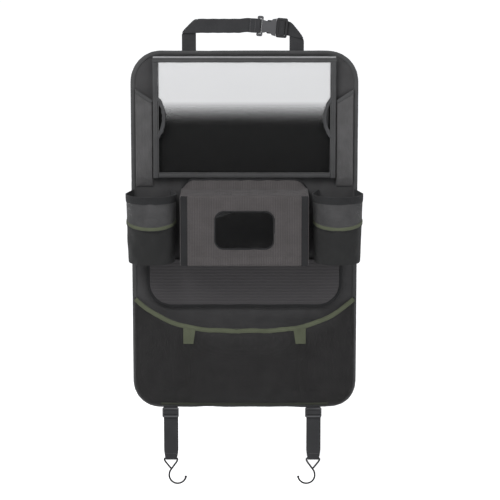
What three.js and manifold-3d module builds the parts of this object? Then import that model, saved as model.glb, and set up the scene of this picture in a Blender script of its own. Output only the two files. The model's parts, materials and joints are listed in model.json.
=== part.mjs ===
// Car seat back organizer, in millimetres with +Z up. The origin is the centre of the panel's back
// face, which lies against the seat, and the pockets face -Y. Places in front of that face are given
// as a depth, so a depth of 5 is at y = -5.

import * as THREE from 'three';
import { mergeVertices } from 'three/addons/utils/BufferGeometryUtils.js';
import Module from 'manifold-3d';

const wasm = await Module();
wasm.setup();

// Fits
const gap = 0.3; // between two pieces that touch or are sewn together
const arcSteps = 7; // straight pieces in a half turn of a corner, doubled by the curve itself

// Panel and its edge binding
const panelWidth = 404;
const panelHeight = 650;
const panelThickness = 4;
const topRadius = 54;
const bottomRadius = 48;
const rimThickness = 1.4; // pressed edge that the binding wraps
const bindingWidth = 8;
const bindingWall = 1.1;
const bindingProud = 1.2; // ridge in front of the panel's face

// Tablet pocket
const windowWidth = 325;
const windowTop = 8; // below the panel's top edge, as for every drop from here on
const windowBottom = 226;
const windowStandoff = 10; // room for a tablet behind the film
const filmThickness = 0.8;
const topBand = 11.5;
const sideBand = 9.7;
const bottomBand = 8.5;
const bandWall = 1.1;
const filmGrip = 5; // of film inside a band
const notchDrop = 118;
const notchHeight = 76;
const notchDepth = 13;
const notchBinding = 6;
const notchGrip = 2.5;
const notchSides = 60; // of the whole circle that the half moon is cut from

// Mesh pockets beside the window
const sidePocketOuterDrop = 68;
const sidePocketInnerDrop = 88;
const sidePocketBottomDrop = 243;
const sidePocketDepth = 7;
const sidePocketHem = 6;
const clothThickness = 1;
const hemWall = 0.8;

// Cup holders
const cupSpread = 165; // from the middle of the panel to each cup's axis
const cupRadius = 45;
const cupBottomRadius = 41;
const cupFoot = 33; // half of the seam-to-seam width on the panel
const cupRimDrop = 248;
const cupBottomDrop = 370;
const cupWall = 1.2;
const elasticHeight = 13;
const elasticWall = 2;
const pipingDrop = 293;
const pipingHeight = 6.5;
const pipingWall = 2.8;
const pipingDip = 9; // at the front of the cup
const cupFloorThickness = 1.5;
const cupStations = 20;

// Tissue box pocket
const tissueWidth = 226;
const tissueDepth = 86;
const tissueTopDrop = 246;
const tissueBottomDrop = 371.5;
const tissueHemDrop = 229.5;
const tissueHem = 4;
const tissueHemCorner = 20;
const tissueMouth = 9; // depth of the gap between the hem and the panel
const tissueRise = 8; // how far in front of the hem the mesh starts to rise to it
const tissueTopSlope = 1.5; // rise of the mesh over the box towards the panel
const tissueCorner = 4;
const hemThickness = 2.2;
const hemBehind = 0.6; // of the hem's back behind the mesh's front
const slotWidth = 104;
const slotHeight = 67;
const slotRadius = 16;
const slotDrop = 307; // middle of the dispensing hole

// Flat middle pocket
const middleInset = 26; // of its edges from the panel's edges
const middleTopDrop = 375;
const middleBottomDrop = 463;
const middleRadius = 45;
const middleDepth = 7.5;
const middleBinding = 6;

// Lower mesh pocket
const lowerInset = 4; // of its edge from the panel's edge
const lowerCornerDrop = 444;
const lowerMiddleDrop = 496.5;
const lowerSagPower = 3.2;
const lowerBulge = 32;
const lowerColumns = 34;
const lowerFewestRows = 9; // of facets, from the top edge to the foot
const lowerFacet = 17; // the most height of one such row
const lowerTape = 8.5;
const tapeWall = 0.8;
const dividerInset = 103; // of each divider from the panel's edge
const dividerWall = 1;
const tabWidth = 22;
const tabTaper = 4;
const tabLength = 34;

// Webbing and the headrest strap
const webbingWidth = 25;
const webbingThickness = 1.4;
const strapSpread = 95.2;
const strapMiddle = -2.8; // halfway between the strap's two feet
const strapRise = 44; // of the strap's run above the panel's top edge
const layerGap = 1.7; // between the two layers of a fold
const sewnTail = 7.4; // of webbing inside the edge binding
const loopBend = 1; // radius of the webbing's bends beside the socket's bar
const threadBend = 0.8; // radius of its bends through a ladder lock or a slider
const anchorBend = 1.5; // radius of its bend over the panel's lower binding
const loopX = 24.5; // the socket's webbing bar
const buckleTilt = THREE.MathUtils.degToRad(5);

// Side-release buckle, measured along the strap from the socket's webbing bar
const barRadius = 1.5;
const barSides = 12;
const sewnLap = 14;
const buckleThickness = 9.6;
const cheekHalf = 18;
const bodyStart = 6.5;
const neckHalf = 10.8;
const sideOpeningStart = 12.5;
const sideOpeningEnd = 24.5;
const waistHalf = 9.7;
const mouthEnd = 31.5;
const mouthHalf = 15.5;
const cavityHalf = 12.3;
const cavityHeight = 5.8;
const plugThickness = 5;
const armClearance = 0.4;
const ladderLength = 19.5;
const ladderHalf = 17.3;
const baseLength = 4;
const ladderSlot = 4.5;
const ladderBar = 3;
const tongueHalf = 2;

// Lower straps, sliders and hooks
const lowerStrapInset = 72; // of each lower strap's middle from the panel's edge
const lowerStrapMiddle = -4.8; // halfway between the two lower straps
const anchorLength = 24; // of webbing sewn to the panel's front
const sliderWidth = 30;
const sliderBar = 3;
const sliderSlot = 4.4;
const sliderCentreBar = 2.7;
const sliderThickness = 3.5;
const sliderCentreThickness = 2.2;
const sliderDepth = 7; // of its middle plane
const sliderHang = 0.8; // below the panel's bottom edge
const hookBarHang = 97;
const wireRadius = 1.55;
const wireBend = 1.5;
const loopHalf = 10; // of the webbing where it is drawn together round the hook's bar
const hookBarHalf = 14.4;
const hookTriangle = 19.7;
const hookRadius = 15.5;
const hookShift = 12; // of the bend's centre from the strap's middle
const hookThroat = 13;
const hookBendEnd = 345; // degrees round the bend, which starts at 180
const tipRadius = 2.1;
const wireSides = 8;
const wireSteps = 34;

// Places worked out from the sizes above
const panelTop = panelHeight / 2;
const atDrop = (drop) => panelTop - drop;
const rimBack = bindingWall + gap;
const bindingFront = panelThickness + bindingProud;
const onPanel = panelThickness + gap;
const filmBack = panelThickness + windowStandoff;
const filmFront = filmBack + filmThickness;
const bandInner = windowWidth / 2 - sideBand;
const webbingDepth = rimBack + webbingThickness / 2;
const runDepth = webbingDepth + webbingThickness + layerGap;
const runZ = panelTop + strapRise;
const webbingHalf = webbingWidth / 2;

const cloth = { color: 0x232325, roughness: 0.9, metalness: 0 };
const mesh = { color: 0x3a3a3c, roughness: 0.9, metalness: 0 };
const tape = { color: 0x3d3d3f, roughness: 0.85, metalness: 0 };
const olive = { color: 0x5a6248, roughness: 0.85, metalness: 0 };
const film = { color: 0xdadada, roughness: 0.08, metalness: 0, transparent: true, opacity: 0.35 };
const webbing = { color: 0x343436, roughness: 0.85, metalness: 0 };
const plastic = { color: 0x2b2b2d, roughness: 0.4, metalness: 0 };
const steel = { color: 0x1b1b1d, roughness: 0.35, metalness: 0.8 };

const organizer = new THREE.Group();

function add(name, geometry, look, parent = organizer) {
  const piece = new THREE.Mesh(geometry, new THREE.MeshStandardMaterial(look));
  piece.name = name;
  parent.add(piece);
  return piece;
}

// Solids from outlines. An outline in x and z is extruded forwards, one in depth and z along x, and
// one in x and depth along z.

function extrude(shape, length) {
  return new THREE.ExtrudeGeometry(shape, { depth: length, bevelEnabled: false, curveSegments: arcSteps });
}

function plate(shape, back, front) {
  return extrude(shape, front - back).rotateX(Math.PI / 2).translate(0, -back, 0);
}

function alongX(shape, left, right) {
  const turn = new THREE.Matrix4().makeBasis(
    new THREE.Vector3(0, -1, 0),
    new THREE.Vector3(0, 0, 1),
    new THREE.Vector3(-1, 0, 0),
  );
  return extrude(shape, right - left).applyMatrix4(turn).translate(right, 0, 0);
}

function alongZ(shape, low, high) {
  const turn = new THREE.Matrix4().makeBasis(
    new THREE.Vector3(1, 0, 0),
    new THREE.Vector3(0, -1, 0),
    new THREE.Vector3(0, 0, -1),
  );
  return extrude(shape, high - low).applyMatrix4(turn).translate(0, 0, high);
}

function polygon(points) {
  return new THREE.Shape(points.map(([a, b]) => new THREE.Vector2(a, b)));
}

function rectangle(left, right, low, high) {
  return polygon([[left, low], [right, low], [right, high], [left, high]]);
}

function disc(x, z, radius, sides) {
  return new THREE.Shape(new THREE.EllipseCurve(x, z, radius, radius).getPoints(sides).slice(0, -1));
}

// A rectangle with its own corner radius at the top and at the bottom.
function rounded(left, right, low, high, lowRadius, highRadius) {
  const shape = new THREE.Shape();
  const quarter = Math.PI / 2;
  shape.moveTo(right, low + lowRadius);
  shape.lineTo(right, high - highRadius);
  shape.absarc(right - highRadius, high - highRadius, highRadius, 0, quarter);
  shape.lineTo(left + highRadius, high);
  shape.absarc(left + highRadius, high - highRadius, highRadius, quarter, 2 * quarter);
  shape.lineTo(left, low + lowRadius);
  shape.absarc(left + lowRadius, low + lowRadius, lowRadius, 2 * quarter, 3 * quarter);
  shape.lineTo(right - lowRadius, low);
  shape.absarc(right - lowRadius, low + lowRadius, lowRadius, 3 * quarter, 4 * quarter);
  return shape;
}

// Joins and cuts

function solid(geometry) {
  const bare = geometry.clone();
  bare.deleteAttribute('normal');
  bare.deleteAttribute('uv');
  const merged = mergeVertices(bare, 1e-4);
  const vertProperties = Float32Array.from(merged.attributes.position.array);
  const triVerts = Uint32Array.from(merged.index.array);
  return new wasm.Manifold(new wasm.Mesh({ numProp: 3, vertProperties, triVerts }));
}

function geometryOf(body) {
  const { vertProperties, triVerts } = body.getMesh();
  const geometry = new THREE.BufferGeometry();
  geometry.setAttribute('position', new THREE.BufferAttribute(Float32Array.from(vertProperties), 3));
  geometry.setIndex(new THREE.BufferAttribute(Uint32Array.from(triVerts), 1));
  return geometry;
}

function join(first, ...others) {
  return geometryOf(others.reduce((body, other) => body.add(solid(other)), solid(first)));
}

function cut(first, ...tools) {
  return geometryOf(tools.reduce((body, tool) => body.subtract(solid(tool)), solid(first)));
}

function common(first, ...others) {
  return geometryOf(others.reduce((body, other) => body.intersect(solid(other)), solid(first)));
}

// A closed skin over a row of rings, each a loop of [x, depth, z] points. The last ring meets the
// first when the row closes on itself, and otherwise both ends are capped.
function skin(rings, closed = false) {
  const size = rings[0].length;
  const points = rings.flat().map(([x, depth, z]) => new THREE.Vector3(x, -depth, z));
  const faces = [];
  const spans = closed ? rings.length : rings.length - 1;
  for (let i = 0; i < spans; i += 1) {
    const next = (i + 1) % rings.length;
    for (let j = 0; j < size; j += 1) {
      const side = (j + 1) % size;
      faces.push([i * size + j, i * size + side, next * size + side]);
      faces.push([i * size + j, next * size + side, next * size + j]);
    }
  }
  if (!closed) {
    const last = (rings.length - 1) * size;
    capFaces(points.slice(0, size)).forEach(([a, b, c]) => faces.push([a, c, b]));
    capFaces(points.slice(last)).forEach(([a, b, c]) => faces.push([last + a, last + b, last + c]));
  }
  return outward(points, faces);
}

// Triangles over a flat ring, turned the way the ring runs.
function capFaces(ring) {
  const normal = new THREE.Vector3();
  ring.forEach((point, i) => normal.add(point.clone().cross(ring[(i + 1) % ring.length])));
  normal.normalize();
  const across = ring[1].clone().sub(ring[0]).normalize();
  const up = normal.clone().cross(across);
  const flat = ring.map((point) => new THREE.Vector2(point.dot(across), point.dot(up)));
  const runs = THREE.ShapeUtils.area(flat);
  return THREE.ShapeUtils.triangulateShape(flat, []).map(([a, b, c]) => {
    const turns = THREE.ShapeUtils.area([flat[a], flat[b], flat[c]]);
    return turns * runs < 0 ? [a, c, b] : [a, b, c];
  });
}

function outward(points, faces) {
  const volume = faces.reduce(
    (sum, [a, b, c]) => sum + points[a].dot(points[b].clone().cross(points[c])),
    0,
  );
  const turned = volume < 0 ? faces.map(([a, b, c]) => [a, c, b]) : faces;
  const geometry = new THREE.BufferGeometry().setFromPoints(points);
  geometry.setIndex(turned.flat());
  return geometry;
}

// Flat paths, as lists of two numbers

// Rounds each inner corner of an open path by a radius.
function withBends(path, radius, steps = 3) {
  const bent = [path[0]];
  for (let i = 1; i < path.length - 1; i += 1) {
    const corner = new THREE.Vector2(...path[i]);
    const back = new THREE.Vector2(...path[i - 1]).sub(corner).normalize();
    const ahead = new THREE.Vector2(...path[i + 1]).sub(corner).normalize();
    const half = Math.acos(THREE.MathUtils.clamp(back.dot(ahead), -1, 1)) / 2;
    const middle = back.clone().add(ahead).normalize();
    const centre = corner.clone().addScaledVector(middle, radius / Math.sin(half));
    const from = corner.clone().addScaledVector(back, radius / Math.tan(half)).sub(centre);
    const to = corner.clone().addScaledVector(ahead, radius / Math.tan(half)).sub(centre);
    const sweep = Math.atan2(from.cross(to), from.dot(to));
    for (let k = 0; k <= steps; k += 1) {
      const spoke = from.clone().rotateAround(new THREE.Vector2(), (sweep * k) / steps);
      bent.push([centre.x + spoke.x, centre.y + spoke.y]);
    }
  }
  bent.push(path[path.length - 1]);
  return bent;
}

// The outline of a band of cloth seen edge on, from the path of its middle.
function ribbon(path, thickness) {
  const points = path.map(([a, b]) => new THREE.Vector2(a, b));
  const normals = points.slice(1).map((point, i) => {
    const along = point.clone().sub(points[i]).normalize();
    return new THREE.Vector2(-along.y, along.x);
  });
  const mitres = points.map((_, i) => {
    const before = normals[Math.max(i - 1, 0)];
    const after = normals[Math.min(i, normals.length - 1)];
    const mitre = before.clone().add(after).normalize();
    return mitre.multiplyScalar(thickness / 2 / mitre.dot(before));
  });
  const left = points.map((point, i) => point.clone().add(mitres[i]));
  const right = points.map((point, i) => point.clone().sub(mitres[i]));
  return new THREE.Shape([...left, ...right.reverse()]);
}

function arcPath(x, y, radius, from, to, steps) {
  return Array.from({ length: steps + 1 }, (_, i) => {
    const angle = THREE.MathUtils.degToRad(from + ((to - from) * i) / steps);
    return [x + radius * Math.cos(angle), y + radius * Math.sin(angle)];
  });
}

// The headrest strap. Each half rises from the panel, folds over at its corner and runs inwards.

// Turns what is modelled along the buckle, from its webbing bar, into place.
function tilt(geometry) {
  return geometry.rotateY(buckleTilt).translate(loopX, 0, runZ);
}

// Across the strap from the middle of one of its feet, outwards when positive.
function strapAcross(side, outwards) {
  return strapMiddle + side * (strapSpread + outwards);
}

function strapFoot(side, creaseLow, creaseHigh, spare) {
  const outer = strapAcross(side, webbingHalf + spare);
  const inner = strapAcross(side, -webbingHalf - spare);
  const foot = panelTop - sewnTail - spare;
  const shape = polygon([[outer, foot], [inner, foot], [inner, creaseHigh], [outer, creaseLow]]);
  const half = webbingThickness / 2 + spare;
  return plate(shape, webbingDepth - half, webbingDepth + half);
}

// The rounded edge where the webbing turns over, as one wall along the crease.
function crease(side, low, high) {
  const outer = strapAcross(side, webbingHalf);
  const inner = strapAcross(side, -webbingHalf);
  const reach = -side * webbingThickness;
  const shape = polygon([
    [outer, low],
    [inner, high],
    [inner + reach, high],
    [outer, low - webbingThickness],
  ]);
  return plate(shape, webbingDepth - webbingThickness / 2, runDepth + webbingThickness / 2);
}

function topStrapLeft() {
  const low = runZ - webbingHalf;
  const high = runZ + webbingHalf;
  const outer = strapAcross(-1, webbingHalf);
  const inner = strapAcross(-1, -webbingHalf);
  const lapStart = loopX - sewnLap - 2 * barRadius;
  const half = webbingThickness / 2;
  const runEnd = lapStart + sewnLap / 2;
  const run = polygon([[outer, low], [runEnd, low], [runEnd, high], [inner, high]]);
  const loop = barRadius + gap + half;
  const lead = -sewnLap - 2 * barRadius;
  const over = [[-loop - 2, runDepth], [-loop / 2, runDepth + loop], [0, runDepth + loop]];
  const front = withBends([[lead, runDepth], ...over], loopBend);
  const turn = arcPath(0, runDepth, loop, 90, -90, 8);
  const lapDepth = runDepth - webbingThickness + 0.1;
  const under = [[0, runDepth - loop], [-loop / 2, runDepth - loop], [-loop - 2, lapDepth]];
  const back = withBends([...under, [lead, lapDepth]], loopBend);
  const wrap = [...front.slice(0, -1), ...turn];
  return join(
    strapFoot(-1, low, high, 0),
    crease(-1, low, high),
    plate(run, runDepth - half, runDepth + half),
    tilt(alongZ(ribbon(wrap, webbingThickness), -webbingHalf, webbingHalf)),
    tilt(alongZ(ribbon(back, webbingThickness), -webbingHalf, webbingHalf)),
  );
}

// Where the tilted run crosses the crease of the right half.
function rightCrease() {
  const lean = Math.PI / 4 + buckleTilt / 2;
  const middle = runZ - (strapAcross(1, 0) - loopX) * Math.tan(buckleTilt);
  const rise = webbingHalf * Math.tan(lean);
  return { low: middle - rise, high: middle + rise };
}

const plugStart = mouthEnd + armClearance;
const firstSlot = plugStart + baseLength;
const middleBarStart = firstSlot + ladderSlot;
const secondSlot = middleBarStart + ladderBar;
const endBarStart = secondSlot + ladderSlot;
const ladderEnd = plugStart + ladderLength;
const frameBack = runDepth - plugThickness / 2;
const loadDepth = frameBack - gap - webbingThickness / 2;
const tailDepth = loadDepth + webbingThickness + gap;
const endBarBack = tailDepth + webbingThickness / 2 + gap;
const middleBarHalf = 1.2;

function topStrapRight() {
  const { low, high } = rightCrease();
  const half = webbingThickness / 2;
  const outer = strapAcross(1, webbingHalf);
  const inner = strapAcross(1, -webbingHalf);
  const creaseStart = (inner - loopX) / Math.cos(buckleTilt) - webbingHalf * Math.tan(buckleTilt);
  const overDepth = runDepth + middleBarHalf + gap + half;
  const up = (firstSlot + middleBarStart) / 2;
  const down = (secondSlot + endBarStart) / 2;
  const load = [[creaseStart + 2, runDepth], [creaseStart - 0.6, runDepth], [ladderEnd - 0.5, loadDepth]];
  const climb = [[up, loadDepth], [up, overDepth]];
  const tail = [[down, overDepth], [down, tailDepth], [ladderEnd + 0.8, tailDepth]];
  const path = withBends([...load, ...climb, ...tail], threadBend);
  const slope = Math.tan(buckleTilt);
  const start = loopX + creaseStart * Math.cos(buckleTilt);
  const run = polygon([
    [outer, low],
    [inner, high],
    [start, high + (inner - start) * slope],
    [start, low + (outer - start) * slope],
  ]);
  return join(
    strapFoot(1, low, high, 0),
    crease(1, low, high),
    plate(run, runDepth - half, runDepth + half),
    tilt(alongZ(ribbon(path, webbingThickness), -webbingHalf, webbingHalf)),
  );
}

// The socket half: a webbing bar between two cheeks, then a flat hollow body with side openings.
function buckleSocket() {
  const half = buckleThickness / 2;
  const outline = [
    [bodyStart, neckHalf],
    [sideOpeningStart - 1.5, neckHalf],
    [sideOpeningStart + 1, waistHalf],
    [sideOpeningEnd - 2.5, waistHalf],
    [sideOpeningEnd, cavityHalf + 1.6],
    [mouthEnd, mouthHalf],
  ];
  const mirrored = outline.map(([x, z]) => [x, -z]).reverse();
  const body = plate(polygon([...outline, ...mirrored]), runDepth - half, runDepth + half);
  const cheekThickness = 2 * barRadius + 1;
  const frame = plate(
    rounded(-barRadius - 1, bodyStart + 2, -cheekHalf, cheekHalf, 3, 3),
    runDepth - cheekThickness / 2,
    runDepth + cheekThickness / 2,
  );
  const window = plate(
    rounded(-barRadius - 3, bodyStart - 0.6, -webbingHalf - 0.8, webbingHalf + 0.8, 0.5, 0.5),
    runDepth - half,
    runDepth + half,
  );
  const bar = alongZ(disc(0, runDepth, barRadius, barSides), -webbingHalf - 2, webbingHalf + 2);
  const inside = polygon([
    [bodyStart + 2.5, -neckHalf + 2],
    [sideOpeningStart, -neckHalf + 2],
    [sideOpeningStart, -cavityHalf],
    [mouthEnd + 1, -cavityHalf],
    [mouthEnd + 1, cavityHalf],
    [sideOpeningStart, cavityHalf],
    [sideOpeningStart, neckHalf - 2],
    [bodyStart + 2.5, neckHalf - 2],
  ]);
  const cavity = plate(inside, runDepth - cavityHeight / 2, runDepth + cavityHeight / 2);
  return join(cut(cut(join(body, frame), cavity), window), bar);
}

// The plug half: two sprung arms and a guide tongue on a ladder-lock frame.
function bucklePlug() {
  const half = plugThickness / 2;
  const arm = [
    [plugStart + 1, 5.6],
    [plugStart + 1, 9.4],
    [sideOpeningEnd + 1, 9.2],
    [sideOpeningEnd - 0.5, cavityHalf - armClearance],
    [sideOpeningStart + 4, cavityHalf - armClearance],
    [sideOpeningStart + 1, neckHalf - 2.6],
    [bodyStart + 4, neckHalf - 3.4],
    [bodyStart + 4, 5.4],
    [sideOpeningStart + 3, 5.8],
  ];
  const upper = plate(polygon(arm), runDepth - half, runDepth + half);
  const lower = plate(polygon(arm.map(([x, z]) => [x, -z]).reverse()), runDepth - half, runDepth + half);
  const tongue = plate(
    rounded(sideOpeningStart + 5, plugStart + 1, -tongueHalf, tongueHalf, 1, 1),
    runDepth - half,
    runDepth + half,
  );
  const slotHalf = webbingHalf + 0.7;
  const frame = cut(
    plate(rounded(plugStart, ladderEnd, -ladderHalf, ladderHalf, 3, 3), frameBack, runDepth + half),
    plate(rectangle(firstSlot, endBarStart, -slotHalf, slotHalf), frameBack - 1, runDepth + half + 1),
    plate(rectangle(endBarStart - 1, ladderEnd + 1, -slotHalf, slotHalf), frameBack - 1, endBarBack),
  );
  const middleBar = plate(
    rectangle(middleBarStart, secondSlot, -slotHalf - 1, slotHalf + 1),
    runDepth - middleBarHalf,
    runDepth + middleBarHalf,
  );
  return join(frame, middleBar, upper, lower, tongue);
}

// The lower straps. Webbing leaves the panel under its binding, goes over the slider's centre bar,
// round the hook and back up to the centre bar, where its end is sewn.

const sliderTop = -panelTop - sliderHang;
const sliderLow = sliderTop - 2 * sliderBar - 2 * sliderSlot - sliderCentreBar;
const centreBarTop = sliderTop - sliderBar - sliderSlot;
const centreBarLow = centreBarTop - sliderCentreBar;
const halfWebbing = webbingThickness / 2;
const outRun = sliderDepth - sliderThickness / 2 - 0.35 - halfWebbing;
const backRun = outRun - webbingThickness - 0.4;
const hookBarDepth = (outRun + backRun) / 2;
const hookBarZ = -panelTop - hookBarHang;
const loopRadius = wireRadius + gap + halfWebbing;
const loopTop = hookBarZ + 4 * loopRadius;

function lowerStrapX(side) {
  return lowerStrapMiddle + side * (panelWidth / 2 - lowerStrapInset);
}

// From the panel's front, back under the binding and out below the panel.
function anchorPath() {
  const panelLow = -panelTop;
  const coreLow = panelLow + bindingWidth + gap;
  const sewn = onPanel + halfWebbing;
  return [
    [sewn, coreLow + 2.5 + anchorLength],
    [sewn, coreLow + 2.5],
    [webbingDepth, coreLow - 2],
    [webbingDepth, panelLow + 0.6],
    [outRun, sliderTop - 1.4],
  ];
}

// Over the slider's centre bar and down to the hook's loop.
function outPath() {
  const wrapOut = sliderCentreThickness / 2 + gap + webbingThickness;
  const over = sliderDepth + wrapOut + gap + halfWebbing;
  const enter = (sliderTop - sliderBar + centreBarTop + gap + webbingThickness) / 2;
  const leave = (sliderLow + sliderBar + centreBarLow - gap - webbingThickness) / 2;
  const turns = [[outRun, enter], [over, enter], [over, leave], [outRun, leave]];
  return withBends([...anchorPath(), ...turns, [outRun, loopTop]], threadBend);
}

// Round the hook's bar.
function loopPath() {
  return [
    [outRun, loopTop + 1],
    [outRun, loopTop],
    [hookBarDepth + loopRadius, hookBarZ + loopRadius],
    ...arcPath(hookBarDepth, hookBarZ, loopRadius, 0, -180, 8),
    [hookBarDepth - loopRadius, hookBarZ + loopRadius],
    [backRun, loopTop],
    [backRun, loopTop + 1],
  ];
}

function wrapPath() {
  const reach = sliderCentreThickness / 2 + gap + halfWebbing;
  const rise = sliderCentreBar / 2 + gap + halfWebbing;
  const middle = (centreBarTop + centreBarLow) / 2;
  return withBends(
    [
      [backRun, sliderLow - 1],
      [backRun, sliderLow + 1],
      [sliderDepth - reach, middle - 1],
      [sliderDepth - reach, middle + rise],
      [sliderDepth + reach, middle + rise],
      [sliderDepth + reach, middle - rise],
      [sliderDepth - reach - 0.2, middle - rise],
    ],
    0.75,
  );
}

function lowerStrap(side) {
  const x = lowerStrapX(side);
  const band = (path, half) => alongX(ribbon(path, webbingThickness), x - half, x + half);
  const backPath = [[backRun, loopTop], [backRun, sliderLow]];
  return join(
    band(outPath(), webbingHalf),
    band(loopPath(), loopHalf),
    band(backPath, webbingHalf),
    band(wrapPath(), webbingHalf),
  );
}

// Only the stretch that the panel and its binding have to let through, a little larger all round.
function lowerStrapRoom(side) {
  const left = lowerStrapX(side) - webbingHalf - gap;
  const right = lowerStrapX(side) + webbingHalf + gap;
  return alongX(ribbon(withBends(anchorPath(), anchorBend), webbingThickness + 2 * gap), left, right);
}

function slider(side) {
  const x = lowerStrapX(side);
  const slotHalf = webbingHalf + 0.6;
  const half = sliderWidth / 2;
  const back = sliderDepth - sliderThickness / 2;
  const front = sliderDepth + sliderThickness / 2;
  const outline = rounded(x - half, x + half, sliderLow, sliderTop, 2, 2);
  const opening = rectangle(x - slotHalf, x + slotHalf, sliderLow + sliderBar, sliderTop - sliderBar);
  const bar = rectangle(x - slotHalf - 0.5, x + slotHalf + 0.5, centreBarLow, centreBarTop);
  return join(
    cut(plate(outline, back, front), plate(opening, back - 1, front + 1)),
    plate(bar, sliderDepth - sliderCentreThickness / 2, sliderDepth + sliderCentreThickness / 2),
  );
}

function wire(path, steps) {
  const points = path.map(([x, z]) => new THREE.Vector3(x, -hookBarDepth, z));
  const curve = new THREE.CatmullRomCurve3(points, false, 'centripetal');
  const round = new THREE.EllipseCurve(0, 0, wireRadius, wireRadius).getPoints(wireSides);
  const section = new THREE.Shape(round.slice(0, -1));
  return new THREE.ExtrudeGeometry(section, { steps, bevelEnabled: false, extrudePath: curve });
}

// A bent wire hook: a triangle that holds the webbing and a J that ends in a ball.
function hook(side) {
  const x = lowerStrapX(side);
  const inward = -side;
  const vertex = hookBarZ - hookTriangle;
  const place = ([across, z]) => [x + inward * across, z];
  const nearLeg = withBends(
    [[-0.6, vertex + 1], [-hookBarHalf, hookBarZ], [1, hookBarZ]],
    wireBend,
  ).map(place);
  const bend = arcPath(hookShift, vertex - hookThroat, hookRadius, 180, hookBendEnd, 11);
  const farLeg = [
    ...withBends([[0, hookBarZ], [hookBarHalf, hookBarZ], [1.2, vertex + 1.6]], wireBend),
    [-2.2, vertex - hookThroat * 0.5],
    ...bend,
  ].map(place);
  const [tipX, tipZ] = place(bend[bend.length - 1]);
  const tip = new THREE.SphereGeometry(tipRadius, 10, 7).translate(tipX, -hookBarDepth, tipZ + 0.6);
  return join(wire(nearLeg, wireSteps / 2), wire(farLeg, wireSteps), tip);
}

// Panel and binding

function panelLoop(inset, depth) {
  const half = panelWidth / 2 - inset;
  const high = panelHeight / 2 - inset;
  const outline = rounded(-half, half, -high, high, bottomRadius - inset, topRadius - inset);
  return outline.getPoints(arcSteps).slice(0, -1).map((point) => [point.x, depth, point.y]);
}

function panelShape(inset) {
  return polygon(panelLoop(inset, 0).map(([x, , z]) => [x, z]));
}

function strapRooms() {
  const { low, high } = rightCrease();
  return [
    strapFoot(-1, runZ - webbingHalf, runZ + webbingHalf, gap),
    strapFoot(1, low, high, gap),
    lowerStrapRoom(-1),
    lowerStrapRoom(1),
  ];
}

function backPanel() {
  const core = plate(panelShape(bindingWidth + gap), 0, panelThickness);
  const rim = plate(panelShape(bindingWall + gap), rimBack, rimBack + rimThickness);
  return cut(join(core, rim), ...strapRooms());
}

function edgeBinding() {
  const slotFront = rimBack + rimThickness + gap;
  const section = [
    [0.6, 0],
    [bindingWidth, 0],
    [bindingWidth, bindingWall],
    [bindingWall, bindingWall],
    [bindingWall, slotFront],
    [bindingWidth, slotFront],
    [bindingWidth, bindingFront - 0.7],
    [bindingWidth - 1.6, bindingFront],
    [1.6, bindingFront],
    [0.3, bindingFront - 0.8],
    [0, bindingFront - 2],
    [0, 0.7],
  ];
  const tube = skin(section.map(([inset, depth]) => panelLoop(inset, depth)), true);
  return cut(tube, ...strapRooms());
}

// Tablet pocket: a clear film held off the panel by bands along its four edges, with a half-moon
// opening for a cable at each side.

function notchDisc(side, radius, back, front) {
  const circle = (notchHeight ** 2 / 4 + notchDepth ** 2) / (2 * notchDepth);
  const centre = side * (bandInner + circle - notchDepth);
  return plate(disc(centre, atDrop(notchDrop), circle + radius, notchSides), back, front);
}

function filmSheet(spare) {
  const half = bandInner + filmGrip + spare;
  const high = atDrop(windowTop + topBand) + filmGrip + spare;
  const low = atDrop(windowBottom - bottomBand) - filmGrip - spare;
  const back = filmBack - spare;
  const front = filmFront + spare;
  const sheet = plate(rectangle(-half, half, low, high), back, front);
  const trim = notchGrip - notchBinding - spare;
  return cut(sheet, notchDisc(-1, trim, back - 1, front + 1), notchDisc(1, trim, back - 1, front + 1));
}

function tabletPocket() {
  const half = windowWidth / 2;
  const high = atDrop(windowTop);
  const low = atDrop(windowBottom);
  const front = filmFront + gap + bandWall;
  const room = filmSheet(gap);
  const thin = filmBack - gap - bandWall;
  const bandLow = high - topBand;
  add('window_film', filmSheet(0), film);
  add('window_band_top', cut(plate(rectangle(-half, half, bandLow, high), thin, front), room), tape);
  const bottom = rectangle(-bandInner + gap, bandInner - gap, low, low + bottomBand);
  add('window_band_bottom', cut(plate(bottom, onPanel, front), room), tape);
  for (const [name, side] of [['left', -1], ['right', 1]]) {
    const edges = [side * bandInner, side * half].sort((a, b) => a - b);
    const band = rectangle(edges[0], edges[1], low, bandLow - gap);
    add(`window_band_${name}`, cut(plate(band, onPanel, front), room), tape);
    const inner = [side * (bandInner - gap), side * (bandInner - 3 * notchDepth)].sort((a, b) => a - b);
    const reach = plate(
      rectangle(inner[0], inner[1], atDrop(notchDrop) - notchHeight, atDrop(notchDrop) + notchHeight),
      thin,
      front,
    );
    const ring = cut(notchDisc(side, 0, thin, front), notchDisc(side, -notchBinding, thin - 1, front + 1));
    add(`cable_notch_${name}`, cut(common(ring, reach), room), tape);
  }
}

// Mesh pocket between the window and the edge binding, open along its slanted top.

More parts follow.
